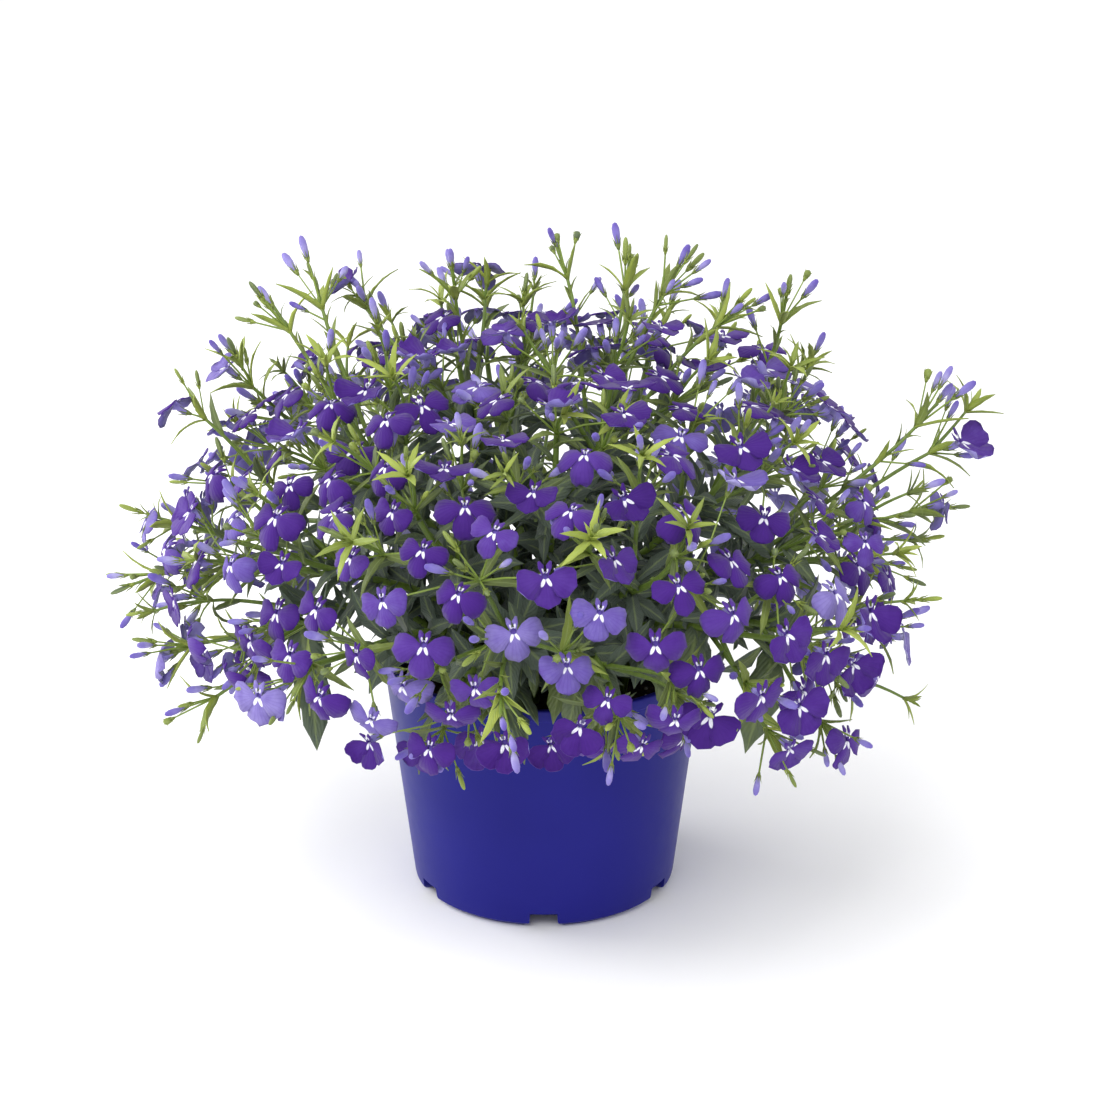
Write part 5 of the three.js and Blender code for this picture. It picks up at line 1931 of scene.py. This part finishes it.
def add_drain_cutter(turn):
    place = Vector((math.cos(turn), math.sin(turn), 0)) * DRAIN["ring"] + Vector((0, 0, FLOOR_HEIGHT))
    bpy.ops.mesh.primitive_cylinder_add(
        vertices=DRAIN["sides"], radius=DRAIN["radius"] * MM, depth=DRAIN["depth"] * MM,
        location=place * MM,
    )
    bpy.ops.object.transform_apply(location=True)
    return bpy.context.object


print("points of a notch's outline:", len(notch_outline()))

# %% Cut them away
SMOOTH_BELOW = math.radians(32)


def cut_away(piece, cutters):
    """Cut several bodies from a piece, one after another, and remove them."""
    for cutter in cutters:
        modifier = piece.modifiers.new("cut", "BOOLEAN")
        modifier.operation = "DIFFERENCE"
        modifier.solver = "EXACT"
        modifier.object = cutter
        bpy.context.view_layer.objects.active = piece
        bpy.ops.object.modifier_apply(modifier=modifier.name)
        bpy.data.objects.remove(cutter)


notch_turns = [i * 2 * math.pi / NOTCH["count"] - math.pi / 2 for i in range(NOTCH["count"])]
drain_turns = [(i + 0.5) * 2 * math.pi / DRAIN["count"] - math.pi / 2 for i in range(DRAIN["count"])]
cut_away(pot, [add_notch_cutter(turn) for turn in notch_turns])
cut_away(pot, [add_drain_cutter(turn) for turn in drain_turns])
bpy.ops.object.select_all(action="DESELECT")
pot.select_set(True)
bpy.context.view_layer.objects.active = pot
bpy.ops.object.shade_smooth_by_angle(angle=SMOOTH_BELOW)
print("pot faces after cutting:", len(pot.data.polygons))

# %% [markdown]
# ### Finish of the pot
#
# Polypropylene comes out of the mould with a satin skin: a deep flat colour, soft wide highlights,
# and a faint orange-peel texture. The foot is scuffed paler where it has slid on benches.

# %% Moulded polypropylene
POT_COLOURS = [(0.3, "1A1A76"), (0.7, "1D1D7C")]
SCUFF_COLOUR = "3A3A92"
CLOUD_SIZE = 40
PEEL_SIZE = 0.9
SCUFF_SIZE = 6
SCUFF_HEIGHT = 7


def pot_material():
    material, tree, shader = new_material(
        "satin moulded polypropylene", {"Roughness": 0.38, "IOR": 1.49, "Specular IOR Level": 0.14}
    )
    body = add_node(tree, "ShaderNodeTexCoord")
    place = add_node(tree, "ShaderNodeSeparateXYZ", links={0: (body, "Object")})
    cloud = add_node(tree, "ShaderNodeTexNoise", values={"Scale": 1 / (CLOUD_SIZE * MM), "Detail": 2.0},
                     links={"Vector": (body, "Object")})
    colour = add_node(tree, "ShaderNodeValToRGB", links={"Fac": (cloud, "Fac")})
    set_stops(colour, POT_COLOURS)
    scuffs = add_node(tree, "ShaderNodeTexNoise", values={"Scale": 1 / (SCUFF_SIZE * MM), "Detail": 8.0},
                      links={"Vector": (body, "Object")})
    low = add_node(tree, "ShaderNodeMapRange", values={"From Min": SCUFF_HEIGHT * MM, "From Max": 0.0},
                   links={"Value": (place, "Z")})
    rubbed = add_node(tree, MATH, {"operation": "MULTIPLY"},
                      links={0: (low, "Result"), 1: (scuffs, "Fac")})
    worn = add_node(tree, "ShaderNodeMapRange", values={"From Min": 0.35, "From Max": 0.6, "To Max": 0.3},
                    links={"Value": (rubbed, 0)})
    shown = add_node(tree, "ShaderNodeMix", {"data_type": "RGBA"}, {7: srgb(SCUFF_COLOUR)},
                     {0: (worn, "Result"), 6: (colour, "Color")})
    dull = add_node(tree, "ShaderNodeMapRange", values={"To Min": 0.34, "To Max": 0.46},
                    links={"Value": (scuffs, "Fac")})
    tree.links.new(dull.outputs["Result"], shader.inputs["Roughness"])
    peel = add_node(tree, "ShaderNodeTexNoise", values={"Scale": 1 / (PEEL_SIZE * MM), "Detail": 2.0},
                    links={"Vector": (body, "Object")})
    relief = add_node(tree, "ShaderNodeBump", values={"Strength": 0.25, "Distance": 0.05 * MM},
                      links={"Height": (peel, "Fac")})
    dress(tree, shader, (shown, 2), relief)
    return material


pot.data.materials.clear()
pot.data.materials.append(pot_material())
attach(pot, "root")
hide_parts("pot")
print("pot finish:", pot.data.materials[0].name)

# %% [markdown]
# ## The compost
#
# Peat compost is dark, matt and crumbly, with pale grains of perlite mixed in. The body is turned
# as the pot was, and its top is raised and lowered by noise. Crumbs and grains, one faceted
# pebble copied at many sizes, lie half sunk in it.

# %% Body of the compost
FIT_GAP = 0.35
COMPOST_EDGE = COMPOST_LEVEL - 2
COMPOST_HEAP = 3
COMPOST_DISC = 40
COMPOST_SIDES = 96
TOP_RINGS = range(54, 2, -3)
HEAP_RADIUS = 50
LUMPS = {"size": 8, "height": 1.1}
CRUMBS = {"size": 3, "height": 0.6}


def compost_height(x, y):
    """Top of the compost: a low heap with lumps of 8 mm and crumbs of 3 mm."""
    share = max(0, 1 - math.hypot(x, y) / HEAP_RADIUS)
    lumps = noise.noise(Vector((x, y, 0)) / LUMPS["size"]) * LUMPS["height"]
    lumps += noise.noise(Vector((x, y, 9)) / CRUMBS["size"]) * CRUMBS["height"]
    return COMPOST_EDGE + COMPOST_HEAP * min(1, 2 * share) + lumps * (0.3 + 0.7 * min(1, 4 * share))


def compost_profile():
    heights = [*range(10, COMPOST_LEVEL - 4, 12), COMPOST_LEVEL - 3]
    inner = [(wall_radius(h) - POT_WALL - FIT_GAP, h) for h in heights]
    top = [(r, COMPOST_EDGE) for r in TOP_RINGS]
    return [(wall_radius(9) - POT_WALL - FIT_GAP - 1, FLOOR_HEIGHT + POT_WALL + 1.5), *inner, *top]


foot_height = FLOOR_HEIGHT + POT_WALL + FIT_GAP
start = (COMPOST_DISC, foot_height)
compost = turn_body("compost_fill", start, compost_profile(), COMPOST_LEVEL, COMPOST_SIDES)
for vert in compost.data.vertices:
    x, y, z = vert.co / MM
    if z > COMPOST_EDGE - 0.5:
        vert.co.z = compost_height(x, y) * MM
print("compost faces:", len(compost.data.polygons))

# %% [markdown]
# ## Putting the plant together
#
# A bunch gathers copies of patterns and turns them into the one mesh of a piece. Thousands of
# separate objects would be slow to handle, and on the plant a spray is one grown thing.

# %% A bunch of copies
class Bunch:
    """Copies of patterns, gathered for one piece."""

    def __init__(self):
        self.parts = []
        self.count = 0

    def add(self, pattern, at, x, y, z, size, tint, slot=None):
        """A copy at a place in mm, with its own axes, its size as a factor, and its tint or tints."""
        axes = np.array([x, y, z]) * size
        points = pattern.points @ axes + np.array(at) * MM
        slots = pattern.slots if slot is None else np.full(len(pattern.sizes), slot)
        tints = np.clip(np.broadcast_to(tint, len(points)), 0, 1)
        self.parts.append((points, pattern.corners + self.count, pattern.sizes, slots, pattern.map, tints))
        self.count += len(points)

    def piece(self, name, materials):
        points, corners, sizes, slots, places, tints = (
            np.concatenate([part[i] for part in self.parts]) for i in range(6)
        )
        mesh = bpy.data.meshes.new(name)
        mesh.vertices.add(len(points))
        mesh.vertices.foreach_set("co", points.ravel())
        mesh.loops.add(len(corners))
        mesh.loops.foreach_set("vertex_index", corners)
        mesh.polygons.add(len(sizes))
        mesh.polygons.foreach_set("loop_start", np.concatenate([[0], np.cumsum(sizes)[:-1]]))
        mesh.polygons.foreach_set("material_index", slots)
        mesh.polygons.foreach_set("use_smooth", np.ones(len(sizes), bool))
        mesh.uv_layers.new(name="flat").data.foreach_set("uv", places.ravel())
        mesh.attributes.new("tint", "FLOAT", "POINT").data.foreach_set("value", tints)
        for material in materials:
            mesh.materials.append(material)
        mesh.update(calc_edges=True)
        mesh.validate()
        made = bpy.data.objects.new(name, mesh)
        bpy.context.scene.collection.objects.link(made)
        return made


print("an empty bunch holds", Bunch().count, "points")

# %% Tubes for stems and stalks
IN_PLACE = ((0, 0, 0), (1, 0, 0), (0, 1, 0), (0, 0, 1), 1)


def tubes(lines, sides):
    """Round tubes along lines of ((x, y, z) in mm, radius in mm), as one pattern in its place."""
    curve = bpy.data.curves.new("tubes", "CURVE")
    curve.dimensions = "3D"
    curve.bevel_depth = MM
    curve.bevel_resolution = (sides - 4) // 2
    curve.use_fill_caps = True
    for line in lines:
        spline = curve.splines.new("POLY")
        spline.points.add(len(line) - 1)
        for point, (at, radius) in zip(spline.points, line):
            point.co = (at[0] * MM, at[1] * MM, at[2] * MM, 1)
            point.radius = radius
    made = bpy.data.objects.new("tubes", curve)
    bpy.context.scene.collection.objects.link(made)
    bpy.ops.object.select_all(action="DESELECT")
    made.select_set(True)
    bpy.context.view_layer.objects.active = made
    bpy.ops.object.convert(target="MESH")
    pattern = take_pattern(bpy.context.object)
    pattern.map[:] = 0.5
    return pattern


print("a tube in its place has the size", IN_PLACE[-1])

# %% [markdown]
# ### Crumbs and perlite
#
# One pebble, a ball of twenty facets pushed in and out, makes all the crumbs. They run from 0.7 to
# 1.8 mm in radius, and one in ten is a grain of perlite, the white puffed glass that keeps compost
# airy.

# %% A crumb, peat and perlite
# Each grain: its size and depth in mm, and how finely and how strongly it shows. Peat is nearly
# black when moist, with brown fibre in it. Perlite is chalky and pitted.
PEAT = {
    "size": 2, "depth": 0.6, "detail": 6.0, "strength": 0.8,
    "colours": [(0.35, "120D09"), (0.55, "2B2018"), (0.75, "4A3726")],
}
PERLITE = {
    "size": 0.8, "depth": 0.3, "detail": 3.0, "strength": 0.5,
    "colours": [(0.3, "A8A294"), (0.6, "DAD6CC")],
}
CRUMB_DENTS = {"depth": 0.35, "per_metre": 700}


def make_crumb():
    bpy.ops.mesh.primitive_ico_sphere_add(subdivisions=1, radius=MM)
    piece = bpy.context.object
    mesh = edit_mesh(piece)
    for vert in mesh.verts:
        vert.co *= 1 + CRUMB_DENTS["depth"] * noise.noise(vert.co * CRUMB_DENTS["per_metre"])
    leave_edit(piece)
    return take_pattern(piece)


def grainy_material(name, base_values, grain):
    """Matt grains, whose colour and relief follow the same noise."""
    material, tree, shader = new_material(name, base_values)
    body = add_node(tree, "ShaderNodeTexCoord")
    grains = add_node(tree, "ShaderNodeTexNoise",
                      values={"Scale": 1 / (grain["size"] * MM), "Detail": grain["detail"]},
                      links={"Vector": (body, "Object")})
    colour = add_node(tree, "ShaderNodeValToRGB", links={"Fac": (grains, "Fac")})
    set_stops(colour, grain["colours"])
    relief = add_node(tree, "ShaderNodeBump",
                      values={"Strength": grain["strength"], "Distance": grain["depth"] * MM},
                      links={"Height": (grains, "Fac")})
    dress(tree, shader, (colour, "Color"), relief)
    return material


peat = grainy_material("moist peat compost", {"Roughness": 0.95, "Specular IOR Level": 0.2}, PEAT)
perlite = grainy_material("perlite grain", {"Roughness": 0.85}, PERLITE)
print("finishes:", peat.name, "and", perlite.name)

# %% Scatter the crumbs
CRUMB_COUNT = 420
PERLITE_SHARE = 0.1
CRUMB_RING = 52
CRUMB_RADIUS = {"least": 0.7, "more": 1.1}
CRUMB_RISE = 0.2

crumb = make_crumb()
top_layer = Bunch()
top_layer.add(take_pattern(compost), *IN_PLACE, tint=0, slot=0)
for _ in range(CRUMB_COUNT):
    reach = CRUMB_RING * math.sqrt(random())
    turn = random() * 2 * math.pi
    x, y = reach * math.cos(turn), reach * math.sin(turn)
    way = unit((spread(1), spread(1), spread(1)))
    side, top = square_to(way)
    grain = random() < PERLITE_SHARE
    size = CRUMB_RADIUS["least"] + CRUMB_RADIUS["more"] * random() ** 2
    at = (x, y, compost_height(x, y) + CRUMB_RISE * size)
    top_layer.add(crumb, at, side, top, way, size, 0, int(grain))
compost = top_layer.piece("compost_fill", [peat, perlite])
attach(compost, "root")
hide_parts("compost")
print("crumbs:", CRUMB_COUNT, "faces:", len(compost.data.polygons))

# %% [markdown]
# ### Foliage
#
# All green parts of a spray are one piece: its stem, its side shoots and its growing tips as tapered
# tubes, hair-thin flower stalks, calyces, leaves and green buds. A lobelia stem is 2 to 3.5 mm
# thick, and a flower's stalk under 1 mm, which is why its flowers seem to float.

# %% Lines of stalks, and how a leaf or a bud is set
STALK_BOW = 0.06
TUBE_BEND = 4.2


def tapered(line, radii):
    last = len(line) - 1
    return [(at, radii[0] + (radii[1] - radii[0]) * i / last) for i, at in enumerate(line)]


def calyx_place(bloom):
    return along(bloom.neck, bloom.way, -TUBE_BEND)


def stalk_line(bloom, shoot):
    """From the shoot to the calyx, with a slight bow."""
    end = calyx_place(bloom)
    bow = along(between(shoot.end, end, 0.5), shoot.way, STALK_BOW * apart(shoot.end, end))
    return [shoot.end, bow, end]


patterns_for = {"narrow": narrow_leaves, "broad": broad_leaves, "shade": shade_leaves}


def set_leaf(bunch, leaf, patterns):
    """The digits of a leaf's tint pick its pattern, which costs no draw of the dice."""
    pattern = patterns[int(1e4 * leaf.tint) % len(patterns)]
    length = NARROW_LEAF.length if patterns is narrow_leaves else BROAD_LEAF.length
    bunch.add(pattern, leaf.base, times(leaf.across, -1), leaf.way, leaf.upper,
              leaf.length / length, leaf.tint, 0)


def set_upright(bunch, pattern, at, way, size, tint, slot=None):
    side, top = square_to(way)
    bunch.add(pattern, at, side, top, way, size, tint, slot)


print("patterns:", {name: len(patterns) for name, patterns in patterns_for.items()})

# %% Foliage of a spray
STEM_RADII = (1.75, 1.0)
SHOOT_RADII = (0.95, 0.6)
SPROUT_RADII = (0.7, 0.5)
STALK_RADII = (0.42, 0.33)
STEM_SIDES = 8
STALK_SIDES = 4
CALYX_SIZE = 0.9
BUD_CALYX_SIZE = 0.8
GREEN_TINTS = {"stem": 0.45, "stalk": 0.7, "calyx": 0.55}
BUD_CALYX_TINT = {"least": 0.5, "kind": 0.3}
GREEN_BUD_TINT = (0.35, 0.5)


def foliage_of(spray):
    bunch = Bunch()
    shoots = (spray.leader, *spray.shoots)
    stems = [tapered(spray.line, STEM_RADII)]
    stems += [tapered(shoot.line, SHOOT_RADII) for shoot in spray.shoots]
    stems += [tapered(sprout.line, SPROUT_RADII) for sprout in spray.sprouts]
    bunch.add(tubes(stems, STEM_SIDES), *IN_PLACE, tint=GREEN_TINTS["stem"], slot=1)
    stalks = []
    for shoot in shoots:
        stalks += [tapered(stalk_line(bloom, shoot), STALK_RADII) for bloom in shoot.blooms]
    stalks += [tapered([bud.base, bud.at], STALK_RADII) for bud in spray.buds]
    bunch.add(tubes(stalks, STALK_SIDES), *IN_PLACE, tint=GREEN_TINTS["stalk"], slot=1)
    for shoot in shoots:
        for bloom in shoot.blooms:
            place = calyx_place(bloom)
            set_upright(bunch, calyx, place, bloom.way, CALYX_SIZE, GREEN_TINTS["calyx"], 0)
    leaves = [leaf for shoot in (*shoots, *spray.sprouts) for leaf in shoot.leaves]
    for leaf in leaves + spray.extra + spray.broad_leaves:
        set_leaf(bunch, leaf, patterns_for[leaf.kind.name])
    for bud in spray.buds:
        tint = BUD_CALYX_TINT["least"] + BUD_CALYX_TINT["kind"] * bud.kind
        set_upright(bunch, calyx, bud.at, bud.way, bud.size * BUD_CALYX_SIZE, tint, 0)
        if bud.kind > FLOWER_BUD_SHARE:
            pattern = spindle_bud if bud.kind > SPINDLE_BUD_FROM else green_bud
            set_upright(bunch, pattern, bud.at, bud.way, bud.size, throw(*GREEN_BUD_TINT), 0)
    return bunch


print("stem %.1f to %.1f mm thick" % (2 * STEM_RADII[0], 2 * STEM_RADII[1]))

# %% [markdown]
# ### Flowers
#
# The flowers of a spray are its second piece, because petals have finishes of their own. A flower
# opens deep violet and pales with age and sun, so most tints are drawn low, and flowers at the
# rim of the dome are paler. Sizes vary by a quarter, as they do on a plant in full bloom.

# %% Flowers of a spray
BLOOM_SIZES = (1.0, 0.24)
BLOOM_TINT = {"least": 0.05, "age": 0.7, "age_power": 2.4, "outer": 0.3}
BUD_TINT = {"least": 0.25, "kind": 1.2, "tip": 0.9}
TUBE_RADII = (1.45, 0.75)
TUBE_SIDES = 8
TUBE_STEPS = 5
TUBE_TINT = 0.5
TUBE_CURVE = {"into_throat": 0.1, "leave": 0.4, "into_calyx": 1.2}


def tube_line(bloom):
    """The flower's tube bends from the way it faces to the way its stalk grows."""
    controls = [
        bloom_point(bloom, 0, 0, TUBE_CURVE["into_throat"] - THROAT_DEPTH),
        bloom.neck,
        along(bloom.neck, bloom.way, -TUBE_BEND * TUBE_CURVE["leave"]),
        along(bloom.neck, bloom.way, -TUBE_BEND + TUBE_CURVE["into_calyx"]),
    ]
    line = [curve_point(controls, i / TUBE_STEPS) for i in range(TUBE_STEPS + 1)]
    return tapered(line, TUBE_RADII)


def flowers_of(spray):
    bunch = Bunch()
    lines = []
    for shoot in (spray.leader, *spray.shoots):
        for bloom in shoot.blooms:
            # The digits of a bloom's size pick its form, which costs no draw of the dice.
            form = flowers[int(1e5 * bloom.size) % len(flowers)]
            outer = math.hypot(*bloom.at[:2]) / DOME_RADIUS
            age = BLOOM_TINT["age"] * random() ** BLOOM_TINT["age_power"]
            tint = BLOOM_TINT["least"] + age + BLOOM_TINT["outer"] * outer**3
            up = times(bloom.lip, -1)
            size = bloom.size * throw(*BLOOM_SIZES)
            bunch.add(form, bloom.at, bloom.across, up, bloom.facing, size, tint)
            lines.append(tube_line(bloom))
    if lines:
        # The flat end of a tube, of triangles, shows in the throat, so it takes the face's finish.
        pattern = tubes(lines, TUBE_SIDES)
        pattern.slots = np.where(pattern.sizes == 3, 0, 1)
        bunch.add(pattern, *IN_PLACE, tint=TUBE_TINT)
    for bud in spray.buds:
        if bud.kind <= FLOWER_BUD_SHARE:
            # The tip of a bud is its deepest part.
            height = flower_bud.points[:, 2] / flower_bud.points[:, 2].max()
            tint = BUD_TINT["least"] + BUD_TINT["kind"] * bud.kind
            tint = tint - BUD_TINT["tip"] * np.maximum(0, height - 0.5)
            set_upright(bunch, flower_bud, bud.at, bud.way, bud.size, tint, 1)
    return bunch


print("blooms up to %.0f %% larger than the plain size" % (100 * BLOOM_SIZES[1]))

# %% Two pieces for each spray
for spray in sprays:
    name = "spray_%02d" % (spray.index + 1)
    foliage = foliage_of(spray).piece(name + "_foliage", foliage_finishes)
    blossom = flowers_of(spray).piece(name + "_flowers", petal_finishes)
    for piece in (foliage, blossom):
        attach(piece, "root")
        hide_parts(name)
shown = [o for o in bpy.data.objects if o.name.startswith("spray_") and "_f" in o.name]
triangles = [sum(face.loop_total - 2 for face in o.data.polygons) for o in shown]
print("pieces:", len(shown), "triangles:", sum(triangles), "most in one:", max(triangles))
